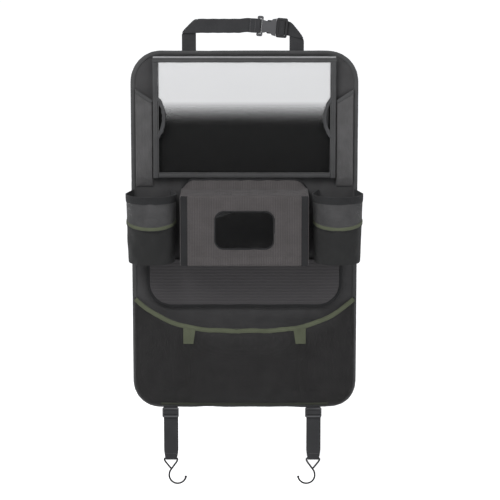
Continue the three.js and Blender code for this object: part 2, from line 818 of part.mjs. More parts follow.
function sidePocket(name, side) {
  const outer = panelWidth / 2 - bindingWidth - gap;
  const inner = windowWidth / 2 + gap;
  const low = atDrop(sidePocketBottomDrop);
  const outerHigh = atDrop(sidePocketOuterDrop);
  const innerHigh = atDrop(sidePocketInnerDrop);
  const front = onPanel + sidePocketDepth;
  const mirror = (points) => polygon(points.map(([x, z]) => [side * x, z]));
  const whole = mirror([[inner, low], [outer, low], [outer, outerHigh], [inner, innerHigh]]);
  const wall = clothThickness;
  const inside = mirror([
    [inner + wall, low + wall],
    [outer - wall, low + wall],
    [outer - wall, outerHigh + wall],
    [inner + wall, outerHigh + wall],
  ]);
  const pocket = cut(plate(whole, onPanel, front), plate(inside, onPanel - 1, front - wall));
  add(`side_pocket_${name}`, pocket, mesh);
  const slant = (x) => innerHigh + ((outerHigh - innerHigh) * (x - inner)) / (outer - inner);
  const from = inner + wall + gap;
  const to = outer - wall - gap;
  const lip = gap + hemWall;
  const hem = plate(
    mirror([
      [from, slant(from) - sidePocketHem],
      [to, slant(to) - sidePocketHem],
      [to, slant(to) + lip],
      [from, slant(from) + lip],
    ]),
    front - wall - gap - hemWall,
    front + gap + hemWall,
  );
  const room = plate(
    mirror([[inner, low], [outer, low], [outer, outerHigh + gap], [inner, innerHigh + gap]]),
    front - wall - gap,
    front + gap,
  );
  add(`side_pocket_hem_${name}`, cut(hem, room), tape);
}

// Cup holder: a sleeve that leaves the panel at two seams, swells round the cup and narrows downwards.

const cupRim = atDrop(cupRimDrop);
const cupLow = atDrop(cupBottomDrop);
const cupAxisDepth = bindingFront + gap + cupRadius;

// A point of the sleeve, from its station 0 to 1 round the cup, its height and its offset outwards.
function sleevePoint(side, station, z, offset) {
  const share = (z - cupLow) / (cupRim - cupLow);
  const radius = cupBottomRadius + (cupRadius - cupBottomRadius) * share;
  const reach = Math.hypot(cupFoot, cupAxisDepth - bindingFront - gap);
  const tangent = Math.acos(radius / reach) - Math.atan2(cupFoot, cupAxisDepth - bindingFront - gap);
  const lead = 1 / cupStations;
  if (station < lead / 2 || station > 1 - lead / 2) {
    const turn = station < 0.5 ? -1 : 1;
    return [side * cupSpread + turn * (cupFoot + offset), bindingFront + gap, z];
  }
  const around = (station - lead) / (1 - 2 * lead);
  const angle = -Math.PI / 2 - tangent + Math.PI / 2 + (Math.PI + 2 * tangent) * around;
  const x = side * cupSpread - (radius + offset) * Math.cos(angle);
  return [x, cupAxisDepth + (radius + offset) * Math.sin(angle), z];
}

function sleeveBand(side, lowAt, highAt, inner, outer) {
  const rings = [];
  for (let i = 0; i <= cupStations; i += 1) {
    const station = i / cupStations;
    const low = lowAt(station);
    const high = highAt(station);
    rings.push([
      sleevePoint(side, station, low, outer),
      sleevePoint(side, station, high, outer),
      sleevePoint(side, station, high, inner),
      sleevePoint(side, station, low, inner),
    ]);
  }
  return skin(rings);
}

function cupHolder(name, side) {
  const dip = (station) => {
    const [, depth] = sleevePoint(side, station, cupRim, 0);
    return pipingDip * Math.max(0, (depth - cupAxisDepth) / cupRadius);
  };
  const elasticLow = () => cupRim - elasticHeight;
  const pipingHigh = (station) => atDrop(pipingDrop) - dip(station);
  const pipingLow = (station) => pipingHigh(station) - pipingHeight;
  const swell = (pipingWall - cupWall) / 2;
  const rimSwell = (elasticWall - cupWall) / 2;
  add(
    `cup_elastic_${name}`,
    sleeveBand(side, elasticLow, () => cupRim, -cupWall - rimSwell, rimSwell),
    tape,
  );
  add(
    `cup_mesh_${name}`,
    sleeveBand(side, (s) => pipingHigh(s) + gap, () => elasticLow() - gap, -cupWall, 0),
    mesh,
  );
  add(`cup_piping_${name}`, sleeveBand(side, pipingLow, pipingHigh, -cupWall - swell, swell), olive);
  add(
    `cup_sleeve_${name}`,
    sleeveBand(side, () => cupLow, (s) => pipingLow(s) - gap, -cupWall, 0),
    cloth,
  );
  const floor = [];
  for (let i = 0; i <= cupStations; i += 1) {
    const [x, depth] = sleevePoint(side, i / cupStations, cupLow, -cupWall - gap);
    floor.push([x, depth]);
  }
  add(`cup_floor_${name}`, alongZ(polygon(floor), cupLow, cupLow + cupFloorThickness), cloth);
}

// Tissue box pocket: one folded mesh box whose back is the panel. Its top slopes up to an elastic hem
// that stands a little off the panel, and its front has the dispensing hole.

function tissueOutline(inset) {
  const half = tissueWidth / 2 - inset;
  const low = atDrop(tissueBottomDrop) + inset;
  const high = atDrop(tissueHemDrop) - inset;
  return rounded(-half, half, low, high, tissueCorner, tissueHemCorner - inset);
}

function tissueProfile(wall) {
  const low = atDrop(tissueBottomDrop) + wall;
  const high = atDrop(tissueTopDrop) - wall;
  const front = onPanel + tissueDepth - wall;
  const mouth = onPanel + tissueMouth;
  const back = wall > 0 ? onPanel - 1 : onPanel;
  const top = atDrop(tissueHemDrop) + wall;
  return polygon([
    [back, low],
    [front, low],
    [front, high],
    [mouth + tissueRise - 2 - wall, high + tissueTopSlope],
    [mouth + clothThickness - wall, top],
    [back, top],
  ]);
}

function tissuePocket() {
  const wall = clothThickness;
  const half = tissueWidth / 2;
  const front = onPanel + tissueDepth;
  const outside = common(
    alongX(tissueProfile(0), -half, half),
    plate(tissueOutline(tissueHem + gap), onPanel - 1, onPanel + tissueMouth + tissueRise),
  );
  const box = alongX(tissueProfile(0), -half, half);
  const lid = atDrop(tissueTopDrop) + tissueTopSlope;
  const below = plate(rectangle(-half, half, atDrop(tissueBottomDrop), lid), 0, front + 1);
  const inside = common(
    alongX(tissueProfile(wall), -half + wall, half - wall),
    plate(tissueOutline(wall), onPanel - 2, front + 1),
  );
  const slotX = slotWidth / 2;
  const slotZ = atDrop(slotDrop);
  const slot = plate(
    rounded(-slotX, slotX, slotZ - slotHeight / 2, slotZ + slotHeight / 2, slotRadius, slotRadius),
    front - 5,
    front + 5,
  );
  add('tissue_pocket', cut(join(common(box, below), outside), inside, slot), mesh);
  const hemBack = onPanel + tissueMouth - hemBehind;
  const hemLow = lid + tissueTopSlope;
  const band = cut(
    plate(tissueOutline(0), hemBack, hemBack + hemThickness),
    plate(tissueOutline(tissueHem), hemBack - 1, hemBack + hemThickness + 1),
    plate(rectangle(-half - 1, half + 1, atDrop(tissueBottomDrop) - 1, hemLow), 0, front),
  );
  add('tissue_hem', band, tape);
}

// Flat middle pocket: a cloth front whose round-cornered edge sits in a binding sewn to the panel.

function middleShape(inset, topLift) {
  const half = panelWidth / 2 - middleInset - inset;
  const low = atDrop(middleBottomDrop) + inset;
  const high = atDrop(middleTopDrop) + topLift;
  return rounded(-half, half, low, high, middleRadius - inset, 0.5);
}

function middlePocket() {
  const front = onPanel + middleDepth;
  const sheetBack = front - hemWall - gap - clothThickness;
  const grip = middleBinding / 2;
  const sheet = plate(middleShape(grip, 0), sheetBack, sheetBack + clothThickness);
  const room = plate(middleShape(grip - gap, 1), sheetBack - gap, sheetBack + clothThickness + gap);
  const inside = plate(middleShape(middleBinding, 1), onPanel - 1, front + 1);
  add('middle_pocket', sheet, cloth);
  add('middle_pocket_binding', cut(plate(middleShape(0, 0), onPanel, front), inside, room), tape);
}

// Lower pocket: one swelling sheet of mesh, with its surface as a depth over the panel.

const lowerHalf = panelWidth / 2 - lowerInset;
const lowerLow = -panelTop + lowerInset;
const lowerCorner = bottomRadius - lowerInset;
const dividerSpread = panelWidth / 2 - dividerInset;
const lowerRows = Math.max(lowerFewestRows, Math.ceil((lowerTop(0) - lowerLow) / lowerFacet));

function lowerTop(x) {
  const sag = atDrop(lowerMiddleDrop);
  return sag + (atDrop(lowerCornerDrop) - sag) * Math.abs(x / lowerHalf) ** lowerSagPower;
}

function lowerSlope(x) {
  return (lowerTop(x + 0.5) - lowerTop(x - 0.5));
}

// Half of the pocket's width at a height, narrowing round its bottom corners.
function lowerHalfAt(z) {
  const above = Math.min(Math.max(z - lowerLow, 0), lowerCorner);
  return lowerHalf - lowerCorner + Math.sqrt(lowerCorner ** 2 - (lowerCorner - above) ** 2);
}

// Depth of the sheet's back: it swells in the middle and comes down to the binding at its edges.
function lowerBack(x, z) {
  const share = Math.min(Math.abs(x) / lowerHalfAt(z), 1);
  const height = lowerTop(0) - lowerLow;
  const fall = Math.min(Math.max((lowerTop(0) - z) / height, 0), 1);
  const swell = (1 - share ** 3) * (1 - fall ** 5);
  return bindingFront + gap + lowerBulge * swell;
}

// A layer of cloth that follows the sheet, between two depths measured from its back.
function lowerLayer(columns, rows, place, near, far) {
  const rings = [];
  for (let i = 0; i <= columns; i += 1) {
    const points = [];
    for (let j = 0; j <= rows; j += 1) {
      const [x, z] = place(i / columns, j / rows);
      points.push([x, lowerBack(x, z), z]);
    }
    const inside = points.map(([x, depth, z]) => [x, depth + near, z]);
    const outside = points.map(([x, depth, z]) => [x, depth + far, z]);
    rings.push([...outside, ...inside.reverse()]);
  }
  return skin(rings);
}

function lowerSheetPlace(u, v) {
  const wide = (2 * u - 1) * lowerHalf;
  const top = lowerTop(wide);
  const eased = v ** 0.8;
  const z = top + (lowerLow - top) * eased;
  return [(2 * u - 1) * Math.max(lowerHalfAt(z), lowerHalf - lowerCorner), z];
}

// The tape over the sheet's top edge, folded over it from front to back.
function lowerBinding() {
  const end = panelWidth / 2 - bindingWidth;
  const rings = [];
  for (let i = 0; i <= lowerColumns; i += 1) {
    const x = (2 * (i / lowerColumns) - 1) * end;
    const steep = Math.hypot(1, lowerSlope(x));
    const top = lowerTop(x);
    const lip = top + (gap + tapeWall) * steep;
    const low = top - lowerTape * steep;
    const room = gap;
    const back = -room - tapeWall;
    const front = clothThickness + room + tapeWall;
    const at = (z, offset) => [x, lowerBack(x, Math.min(z, top)) + offset, z];
    rings.push([
      at(low, front),
      at(lip - tapeWall / 2, front),
      at(lip, front - tapeWall),
      at(lip, back + tapeWall),
      at(lip - tapeWall / 2, back),
      at(low, back),
      at(low, back + tapeWall),
      at(top + room, back + tapeWall),
      at(top + room, front - tapeWall),
      at(low, front - tapeWall),
    ]);
  }
  return skin(rings);
}

function dividerTab(side) {
  const inner = dividerSpread - tabWidth / 2;
  const outer = dividerSpread + tabWidth / 2;
  const place = (u, v) => {
    const from = inner + tabTaper * v;
    const x = side * (from + (outer - from) * u);
    const top = lowerTop(x) - (lowerTape + gap) * Math.hypot(1, lowerSlope(x));
    return [x, top + (lowerTop(side * dividerSpread) - tabLength - top) * v];
  };
  return lowerLayer(4, 5, place, clothThickness + gap, clothThickness + gap + tapeWall);
}

// A web of cloth from the panel to the sheet, which parts the pocket into three.
function divider(side) {
  const x = side * dividerSpread;
  const top = lowerTop(x) - (lowerTape + gap) * Math.hypot(1, lowerSlope(x));
  const low = lowerLow + lowerInset + bindingWidth;
  const rows = 8;
  const front = Array.from({ length: rows + 1 }, (_, i) => {
    const z = top + ((low - top) * i) / rows;
    return [lowerBack(x, z) - 2 * gap, z];
  });
  const shape = polygon([[onPanel, top], ...front, [onPanel, low]]);
  return alongX(shape, x - dividerWall / 2, x + dividerWall / 2);
}

add('back_panel', backPanel(), cloth);
add('edge_binding', edgeBinding(), tape);
tabletPocket();
tissuePocket();
middlePocket();
add('lower_pocket', lowerLayer(lowerColumns, lowerRows, lowerSheetPlace, 0, clothThickness), mesh);
add('lower_binding', lowerBinding(), olive);
add('top_strap_left', topStrapLeft(), webbing);
add('top_strap_right', topStrapRight(), webbing);

const buckle = new THREE.Group();
buckle.position.set(loopX, 0, runZ);
buckle.rotation.y = buckleTilt;
organizer.add(buckle);
add('buckle_socket', buckleSocket(), plastic, buckle);
add('buckle_plug', bucklePlug(), plastic, buckle);

for (const [name, side] of [['left', -1], ['right', 1]]) {
  sidePocket(name, side);
  cupHolder(name, side);
  add(`divider_${name}`, divider(side), cloth);
  add(`divider_tab_${name}`, dividerTab(side), olive);
  add(`lower_strap_${name}`, lowerStrap(side), webbing);
  add(`slider_${name}`, slider(side), plastic);
  add(`hook_${name}`, hook(side), steel);
}

export default organizer;
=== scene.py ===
# %% [markdown]
# # Car seat back organizer
# This lesson dresses a measured model of a hanging organizer. The measured solids give every place
# and size, and here each soft piece is made again as cloth, with its thickness, folds and weave.

import bisect
import json
import math

import bmesh
import bpy
from mathutils import Matrix, Vector, noise

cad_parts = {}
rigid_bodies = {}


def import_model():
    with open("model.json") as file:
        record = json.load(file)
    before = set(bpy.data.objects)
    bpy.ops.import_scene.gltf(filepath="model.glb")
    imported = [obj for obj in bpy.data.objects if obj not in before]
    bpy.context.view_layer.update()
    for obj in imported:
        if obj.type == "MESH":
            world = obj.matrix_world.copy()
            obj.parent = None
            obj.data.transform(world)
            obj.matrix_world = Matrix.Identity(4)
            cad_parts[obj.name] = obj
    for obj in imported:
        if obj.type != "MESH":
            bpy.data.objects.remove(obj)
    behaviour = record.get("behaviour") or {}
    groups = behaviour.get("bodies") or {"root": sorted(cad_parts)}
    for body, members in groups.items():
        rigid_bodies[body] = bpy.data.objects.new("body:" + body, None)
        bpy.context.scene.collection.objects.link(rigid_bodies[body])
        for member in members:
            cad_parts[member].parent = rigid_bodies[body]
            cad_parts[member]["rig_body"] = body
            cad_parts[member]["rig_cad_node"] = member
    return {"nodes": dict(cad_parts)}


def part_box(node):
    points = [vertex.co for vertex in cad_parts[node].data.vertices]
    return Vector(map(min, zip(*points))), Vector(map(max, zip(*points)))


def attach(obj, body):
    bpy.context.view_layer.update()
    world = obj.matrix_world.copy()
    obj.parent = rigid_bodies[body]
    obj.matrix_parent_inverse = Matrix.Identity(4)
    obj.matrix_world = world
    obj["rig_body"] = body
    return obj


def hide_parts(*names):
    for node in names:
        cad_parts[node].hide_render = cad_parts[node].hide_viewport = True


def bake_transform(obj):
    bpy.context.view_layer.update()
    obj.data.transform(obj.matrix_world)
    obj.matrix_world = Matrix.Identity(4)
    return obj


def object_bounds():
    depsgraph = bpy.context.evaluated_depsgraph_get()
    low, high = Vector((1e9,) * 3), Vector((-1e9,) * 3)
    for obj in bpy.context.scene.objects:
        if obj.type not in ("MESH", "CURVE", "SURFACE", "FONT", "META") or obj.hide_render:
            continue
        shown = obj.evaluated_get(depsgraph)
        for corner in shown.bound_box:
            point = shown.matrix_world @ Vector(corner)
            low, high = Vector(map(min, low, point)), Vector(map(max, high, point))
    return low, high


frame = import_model()
cad_low, cad_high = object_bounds()
MM = 0.001
print("measured nodes:", len(frame["nodes"]))

# %% [markdown]
# Most of the work is in millimetres with a depth that counts forwards from the panel's back, because
# that is how an organizer is drawn up. One helper turns such a place into the frame's metres, and
# another reads a node's box back in the same way.


# %% Places
def spot(x, depth, z):
    """A place in millimetres, its depth counted forwards from the panel's back."""
    return Vector((x, -depth, z))


def at(x, depth, z):
    return spot(x, depth, z) * MM


def span(node):
    """Left, right, back, front, low and high of a measured node."""
    low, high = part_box(node)
    return [value / MM for value in (low.x, high.x, -high.y, -low.y, low.z, high.z)]


_, PANEL_HALF, _, PANEL_FRONT, PANEL_LOW, PANEL_HIGH = span("edge_binding")
ON_PANEL = span("side_pocket_left")[2]
print("panel", round(2 * PANEL_HALF), "by", round(PANEL_HIGH - PANEL_LOW))

# %% [markdown]
# A camera far away with a long lens sees the organizer almost without perspective, from eleven
# degrees above. Soft light from two wide lamps and a pale world keeps black cloth readable.

# %% Camera and light
FRAME_WIDTH = 0.9
CAMERA_DISTANCE = 4.0
CAMERA_RISE = math.radians(11)
LOOK_AT = at(9.9, 0, -34.6)

back_to_camera = Vector((0, -math.cos(CAMERA_RISE), math.sin(CAMERA_RISE)))
camera_data = bpy.data.cameras.new("camera")
camera_data.lens = camera_data.sensor_width * CAMERA_DISTANCE / FRAME_WIDTH
camera = bpy.data.objects.new("camera", camera_data)
camera.location = LOOK_AT + back_to_camera * CAMERA_DISTANCE
camera.rotation_mode = "QUATERNION"
camera.rotation_quaternion = (-back_to_camera).to_track_quat("-Z", "Y")
bpy.context.scene.collection.objects.link(camera)
bpy.context.scene.camera = camera


def lamp(name, place, aim, size, power):
    data = bpy.data.lights.new(name, "AREA")
    data.size = size
    data.energy = power
    light = bpy.data.objects.new(name, data)
    light.location = place
    light.rotation_mode = "QUATERNION"
    light.rotation_quaternion = (Vector(aim) - Vector(place)).to_track_quat("-Z", "Y")
    bpy.context.scene.collection.objects.link(light)


lamp("key", (-1.2, -2.0, 2.2), (0, 0, 0), 1.5, 70)
lamp("fill", (1.9, -1.8, 0.7), (0, 0, -0.1), 1.4, 16)

bpy.context.scene.view_settings.view_transform = "Standard"
print("camera lens", round(camera_data.lens), "mm, lamps:", len(bpy.data.lights))

# %% [markdown]
# Materials are built from a few helpers. Every new piece carries a UV map in metres, so one weave
# has the same size on a wide panel and on a narrow tape, and it follows the cloth round its folds.


# %% Helpers for materials
def fresh_material(name, colour, roughness):
    material = bpy.data.materials.new(name)
    material.use_nodes = True
    shader = material.node_tree.nodes["Principled BSDF"]
    shader.inputs["Base Color"].default_value = (*colour, 1)
    shader.inputs["Roughness"].default_value = roughness
    return material, material.node_tree, shader


def node(tree, kind, **inputs):
    made = tree.nodes.new(kind)
    for key, value in inputs.items():
        made.inputs[key.replace("_", " ")].default_value = value
    return made


def coordinates(tree, kind):
    return tree.nodes.new("ShaderNodeTexCoord").outputs[kind]


def maths(tree, operation, first, second=None):
    made = tree.nodes.new("ShaderNodeMath")
    made.operation = operation
    for socket, value in zip(made.inputs, (first, second)):
        if value is None:
            continue
        if isinstance(value, (int, float)):
            socket.default_value = value
        else:
            tree.links.new(value, socket)
    return made.outputs["Value"]


def ridges(tree, place, direction, pitch, bend=0.0):
    """Rounded ridges a pitch apart, in metres, as a value from 0 to 1."""
    wave = node(tree, "ShaderNodeTexWave", Scale=math.pi / 10 / pitch, Distortion=bend)
    wave.bands_direction = direction
    tree.links.new(place, wave.inputs["Vector"])
    return wave.outputs["Fac"]


def cloud(tree, place, size, detail=3.0):
    """Soft blotches of a size in metres, as a value from 0 to 1."""
    texture = node(tree, "ShaderNodeTexNoise", Scale=1 / size, Detail=detail)
    tree.links.new(place, texture.inputs["Vector"])
    return texture.outputs["Fac"]


def tint(tree, shader, amount, dark, light):
    """The base colour runs from dark to light with the amount."""
    ramp = tree.nodes.new("ShaderNodeValToRGB")
    ramp.color_ramp.elements[0].color = (*dark, 1)
    ramp.color_ramp.elements[1].color = (*light, 1)
    tree.links.new(amount, ramp.inputs["Fac"])
    tree.links.new(ramp.outputs["Color"], shader.inputs["Base Color"])
    return ramp


def relief(tree, shader, height, depth):
    bump = node(tree, "ShaderNodeBump", Strength=0.8, Distance=depth)
    tree.links.new(height, bump.inputs["Height"])
    tree.links.new(bump.outputs["Normal"], shader.inputs["Normal"])


def shade(colour, factor):
    return tuple(channel * factor for channel in colour)


def matt(shader, sheen=0.05):
    """Cloth reflects little, apart from a faint bloom of loose fibres at its edges."""
    shader.inputs["Specular IOR Level"].default_value = 0.18
    shader.inputs["Sheen Weight"].default_value = sheen
    shader.inputs["Sheen Roughness"].default_value = 0.5


def woven(name, colour, across, along, roughness=0.85, depth=0.0004, contrast=0.45):
    """Cloth whose threads cross at two pitches, with a little wear and unevenness in its colour."""
    material, tree, shader = fresh_material(name, colour, roughness)
    place = coordinates(tree, "UV")
    threads = maths(
        tree, "MULTIPLY", ridges(tree, place, "X", across), ridges(tree, place, "Y", along)
    )
    wear = cloud(tree, coordinates(tree, "Object"), 0.03)
    amount = maths(tree, "ADD", maths(tree, "MULTIPLY", threads, 0.55), maths(tree, "MULTIPLY", wear, 0.55))
    tint(tree, shader, amount, shade(colour, 1 - contrast), shade(colour, 1 + contrast))
    relief(tree, shader, threads, depth)
    matt(shader)
    return material


def ribbed(name, colour, pitch, depth=0.0008):
    """Cloth with wide ribs that run across it, over a fine weave."""
    material, tree, shader = fresh_material(name, colour, 0.75)
    place = coordinates(tree, "UV")
    ribs = ridges(tree, place, "Y", pitch)
    fine = ridges(tree, place, "X", 0.0012)
    amount = maths(tree, "ADD", maths(tree, "MULTIPLY", ribs, 0.7), maths(tree, "MULTIPLY", fine, 0.3))
    tint(tree, shader, amount, shade(colour, 0.88), shade(colour, 1.12))
    relief(tree, shader, amount, depth)
    matt(shader)
    return material


# %% [markdown]
# Mesh is knitted with open cells. The cells are cut out of the cloth with alpha, by two sets of
# ridges that both have to be high, so the panel shows through and the cloth looks lighter edge on.


# %% Helper for mesh cloth
def netting(name, colour, across, along, closed, line=0.0):
    """Netting whose cells are open where both ridges are high. closed is how much of them is thread."""
    material, tree, shader = fresh_material(name, colour, 0.8)
    place = coordinates(tree, "UV")
    cells = maths(
        tree, "MULTIPLY", ridges(tree, place, "X", across), ridges(tree, place, "Y", along)
    )
    thread = maths(tree, "LESS_THAN", cells, closed)
    tree.links.new(thread, shader.inputs["Alpha"])
    amount = cloud(tree, coordinates(tree, "Object"), 0.02)
    if line:
        amount = maths(tree, "MULTIPLY", maths(tree, "ADD", amount, ridges(tree, place, "X", line)), 0.6)
    tint(tree, shader, amount, shade(colour, 0.65), shade(colour, 1.35))
    relief(tree, shader, cells, 0.0003)
    matt(shader, 0.1)
    return material


def moulded(name, colour, roughness, grain, shine=0.4):
    material, tree, shader = fresh_material(name, colour, roughness)
    shader.inputs["Specular IOR Level"].default_value = shine
    place = coordinates(tree, "Object")
    speckle = cloud(tree, place, grain, 6.0)
    tint(tree, shader, cloud(tree, place, 0.01), shade(colour, 0.85), shade(colour, 1.15))
    relief(tree, shader, speckle, 0.00005)
    return material


# %% Materials of the organizer
panel_cloth = woven("panel_cloth", (0.055, 0.054, 0.055), 0.0011, 0.0016)
lining_cloth = woven("lining_cloth", (0.004, 0.004, 0.004), 0.0011, 0.0011)
ribbed_cloth = ribbed("ribbed_cloth", (0.056, 0.053, 0.055), 0.0066, 0.0005)
cup_cloth = woven("cup_cloth", (0.02, 0.02, 0.02), 0.0012, 0.0012)
dark_tape = woven("dark_tape", (0.064, 0.064, 0.065), 0.0018, 0.0011)
black_tape = woven("black_tape", (0.018, 0.018, 0.019), 0.0022, 0.0013)
olive_tape = woven("olive_tape", (0.088, 0.097, 0.063), 0.0018, 0.0012)
foot_tape = woven("foot_tape", (0.034, 0.037, 0.027), 0.0018, 0.0012)
# Black tape, its colour lifted and strongly blotched to paint the glints on its crinkles.
glinting_crinkled_tape = woven("glinting_crinkled_tape", (0.065, 0.065, 0.067), 0.0022, 0.0013, contrast=0.7)
elastic_band = woven("elastic_band", (0.022, 0.022, 0.023), 0.0016, 0.0012, contrast=0.6)
strap_webbing = woven("strap_webbing", (0.036, 0.036, 0.038), 0.0022, 0.0014, depth=0.0006)
pocket_mesh = netting("pocket_mesh", (0.022, 0.021, 0.021), 0.0021, 0.0017, 0.14)
# Side netting, its colour lifted above the black cloth to paint the sheen of its threads.
side_mesh_painted_sheen = netting("side_mesh_painted_sheen", (0.096, 0.094, 0.095), 0.0021, 0.0017, 0.5)
tissue_mesh = netting("tissue_mesh", (0.08, 0.073, 0.073), 0.0021, 0.0012, 0.35, line=0.0034)
cup_mesh_cloth = netting("cup_mesh_cloth", (0.07, 0.069, 0.07), 0.0024, 0.0018, 0.3)
thread_grey = woven("thread_grey", (0.13, 0.13, 0.13), 0.0006, 0.0006)
film_edge = moulded("film_edge", (0.24, 0.24, 0.245), 0.3, 0.002)
buckle_plastic = moulded("buckle_plastic", (0.052, 0.052, 0.055), 0.42, 0.0006)
# The plug is the socket's plastic painted darker, for the shade that the folded webbing casts on it.
shaded_plug_plastic = moulded("shaded_plug_plastic", (0.016, 0.016, 0.017), 0.5, 0.0006, 0.25)
coated_wire = moulded("coated_wire", (0.008, 0.008, 0.009), 0.45, 0.0009, 0.3)
print("materials:", len(bpy.data.materials))

# %% [markdown]
# The window is thick clear film, clear at the bottom. Its near-white glare under the top band is painted
# in as a pale cover; one cover can't show both, so the painted glare falls with height.

# %% Window film material
FILM_GLARE_LOW = 0.188
FILM_GLARE_HIGH = 0.236
FILM_GLARE_MOST = 0.53
FILM_GLARE_CURVE = 3.2
# The white base colour, shown through the alpha below, is the painted glare on the film.
clear_film, film_tree, film_shader = fresh_material("clear_film", (0.86, 0.86, 0.865), 0.12)
film_place = film_tree.nodes.new("ShaderNodeSeparateXYZ")
film_tree.links.new(coordinates(film_tree, "Object"), film_place.inputs["Vector"])
rise = film_tree.nodes.new("ShaderNodeMapRange")
rise.inputs["From Min"].default_value = FILM_GLARE_LOW
rise.inputs["From Max"].default_value = FILM_GLARE_HIGH
film_tree.links.new(film_place.outputs["Z"], rise.inputs["Value"])
painted_glare = maths(film_tree, "POWER", rise.outputs["Result"], FILM_GLARE_CURVE)
painted_glare = maths(film_tree, "MULTIPLY", painted_glare, FILM_GLARE_MOST)
film_tree.links.new(painted_glare, film_shader.inputs["Alpha"])
film_shader.inputs["Specular IOR Level"].default_value = 0.06
print("film haze from", FILM_GLARE_LOW, "to", FILM_GLARE_HIGH)

# %% [markdown]
# The floor and the world behind it are white where they are looked at. They light the cloth much
# less than that, so it keeps its depth.


# %% Floor and world
def looked_at(tree):
    """One for what the camera sees, straight on or in a shine, and nought for all other light."""
    seen = tree.nodes.new("ShaderNodeLightPath")
    bright = maths(tree, "MAXIMUM", seen.outputs["Is Camera Ray"], seen.outputs["Is Glossy Ray"])
    return maths(tree, "MAXIMUM", bright, seen.outputs["Is Transmission Ray"])


WORLD_LIGHT = 0.5
SEEN_GLOW = 0.6
FLOOR_SIZE = 60
FLOOR_GAP = 0.004
world = bpy.data.worlds.new("pale studio")
bpy.context.scene.world = world
world.use_nodes = True
sky = world.node_tree.nodes["Background"]
sky.inputs["Color"].default_value = (0.95, 0.97, 1.0, 1)
glow = maths(world.node_tree, "MULTIPLY", looked_at(world.node_tree), SEEN_GLOW)
world.node_tree.links.new(maths(world.node_tree, "ADD", glow, WORLD_LIGHT), sky.inputs["Strength"])

bpy.ops.object.select_all(action="DESELECT")
bpy.ops.mesh.primitive_plane_add(size=FLOOR_SIZE, location=(0, 0, cad_low.z - FLOOR_GAP))
floor = bpy.context.object
floor.name = "floor"
floor_paint, floor_tree, floor_shader = fresh_material("floor_paint", (0.86, 0.86, 0.86), 0.9)
floor_shader.inputs["Emission Color"].default_value = (1, 1, 1, 1)
floor_glow = maths(floor_tree, "MULTIPLY", looked_at(floor_tree), SEEN_GLOW)
floor_tree.links.new(floor_glow, floor_shader.inputs["Emission Strength"])
floor.data.materials.append(floor_paint)
print("floor at", round(cad_low.z - FLOOR_GAP, 4))

# %% [markdown]
# Cloth pieces start as a grid primitive. Its points are moved to where a function of two shares, one
# across and one up the grid, says they lie, which is the same as laying a flat cut over a form.


# %% Helpers for pieces
def pick(piece):
    bpy.ops.object.select_all(action="DESELECT")
    piece.select_set(True)
    bpy.context.view_layer.objects.active = piece


def modify(piece, kind, **settings):
    pick(piece)
    modifier = piece.modifiers.new("finish", kind)
    for key, value in settings.items():
        setattr(modifier, key, value)
    bpy.ops.object.modifier_apply(modifier=modifier.name)


def mend(piece, close=True):
    """Merges doubled points, closes holes and turns the faces outwards."""
    pick(piece)
    bpy.ops.object.mode_set(mode="EDIT")
    bpy.ops.mesh.select_all(action="SELECT")
    bpy.ops.mesh.remove_doubles(threshold=0.00002)
    if close:
        bpy.ops.mesh.fill_holes(sides=0)
    bpy.ops.mesh.select_all(action="SELECT")
    bpy.ops.mesh.normals_make_consistent(inside=False)
    bpy.ops.object.mode_set(mode="OBJECT")


cuts = {}


def laid(name, columns, rows, place):
    """A grid of cloth laid where place(u, v) says, with its true width and length in its map."""
    bpy.ops.object.select_all(action="DESELECT")
    bpy.ops.mesh.primitive_grid_add(x_subdivisions=columns, y_subdivisions=rows, size=1)
    piece = bpy.context.object
    piece.name = piece.data.name = name
    for vertex in piece.data.vertices:
        vertex.co = place(vertex.co.x + 0.5, vertex.co.y + 0.5)
    cuts[name] = measured_cut(piece, columns, rows)
    width, length, _ = cuts[name]
    for corner in piece.data.uv_layers.active.data:
        corner.uv = (corner.uv.x * width, corner.uv.y * length)
    return piece


def measured_cut(piece, columns, rows):
    """The flat size of a laid grid: its longest row, its longest column and its area."""
    points = [vertex.co for vertex in piece.data.vertices]
    across = columns + 1

    def line(start, step, count):
        stops = [points[start + step * i] for i in range(count + 1)]
        return sum((b - a).length for a, b in zip(stops, stops[1:]))

    width = max(line(row * across, 1, columns) for row in range(rows + 1))
    length = max(line(column, across, rows) for column in range(across))
    return width, length, sum(face.area for face in piece.data.polygons)


def cloth_sheet(piece, held, *rests_on, hole=0.0):
    """Prints the flat size that a laid piece of cloth was cut to."""
    width, length, area = cuts[piece.name]
    area = min(area - hole, width * length)
    print(piece.name, "cut", round(width / MM), "by", round(length / MM))


def dressed(piece, material, body, slot, *nodes, angle=50):
    """Gives a finished piece its material and its body, and hides the measured nodes it stands for."""
    piece.data.materials.clear()
    piece.data.materials.append(material)
    pick(piece)
    bpy.ops.object.shade_smooth_by_angle(angle=math.radians(angle))
    if body:
        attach(piece, body)
    if nodes:
        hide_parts(*nodes)
    print(piece.name, len(piece.data.polygons), "faces")
    return piece


def thick(piece, wall):
    modify(piece, "SOLIDIFY", thickness=wall * MM, offset=0)
    return piece


def ripple(x, z, size, height, seed=0.0):
    return height * noise.noise(Vector((x / size, z / size, seed)))


# %% [markdown]
# Tapes and cords are swept. A route is a line of points that can be asked for its place and heading
# at any share of its length, and a band lays a closed section along it.


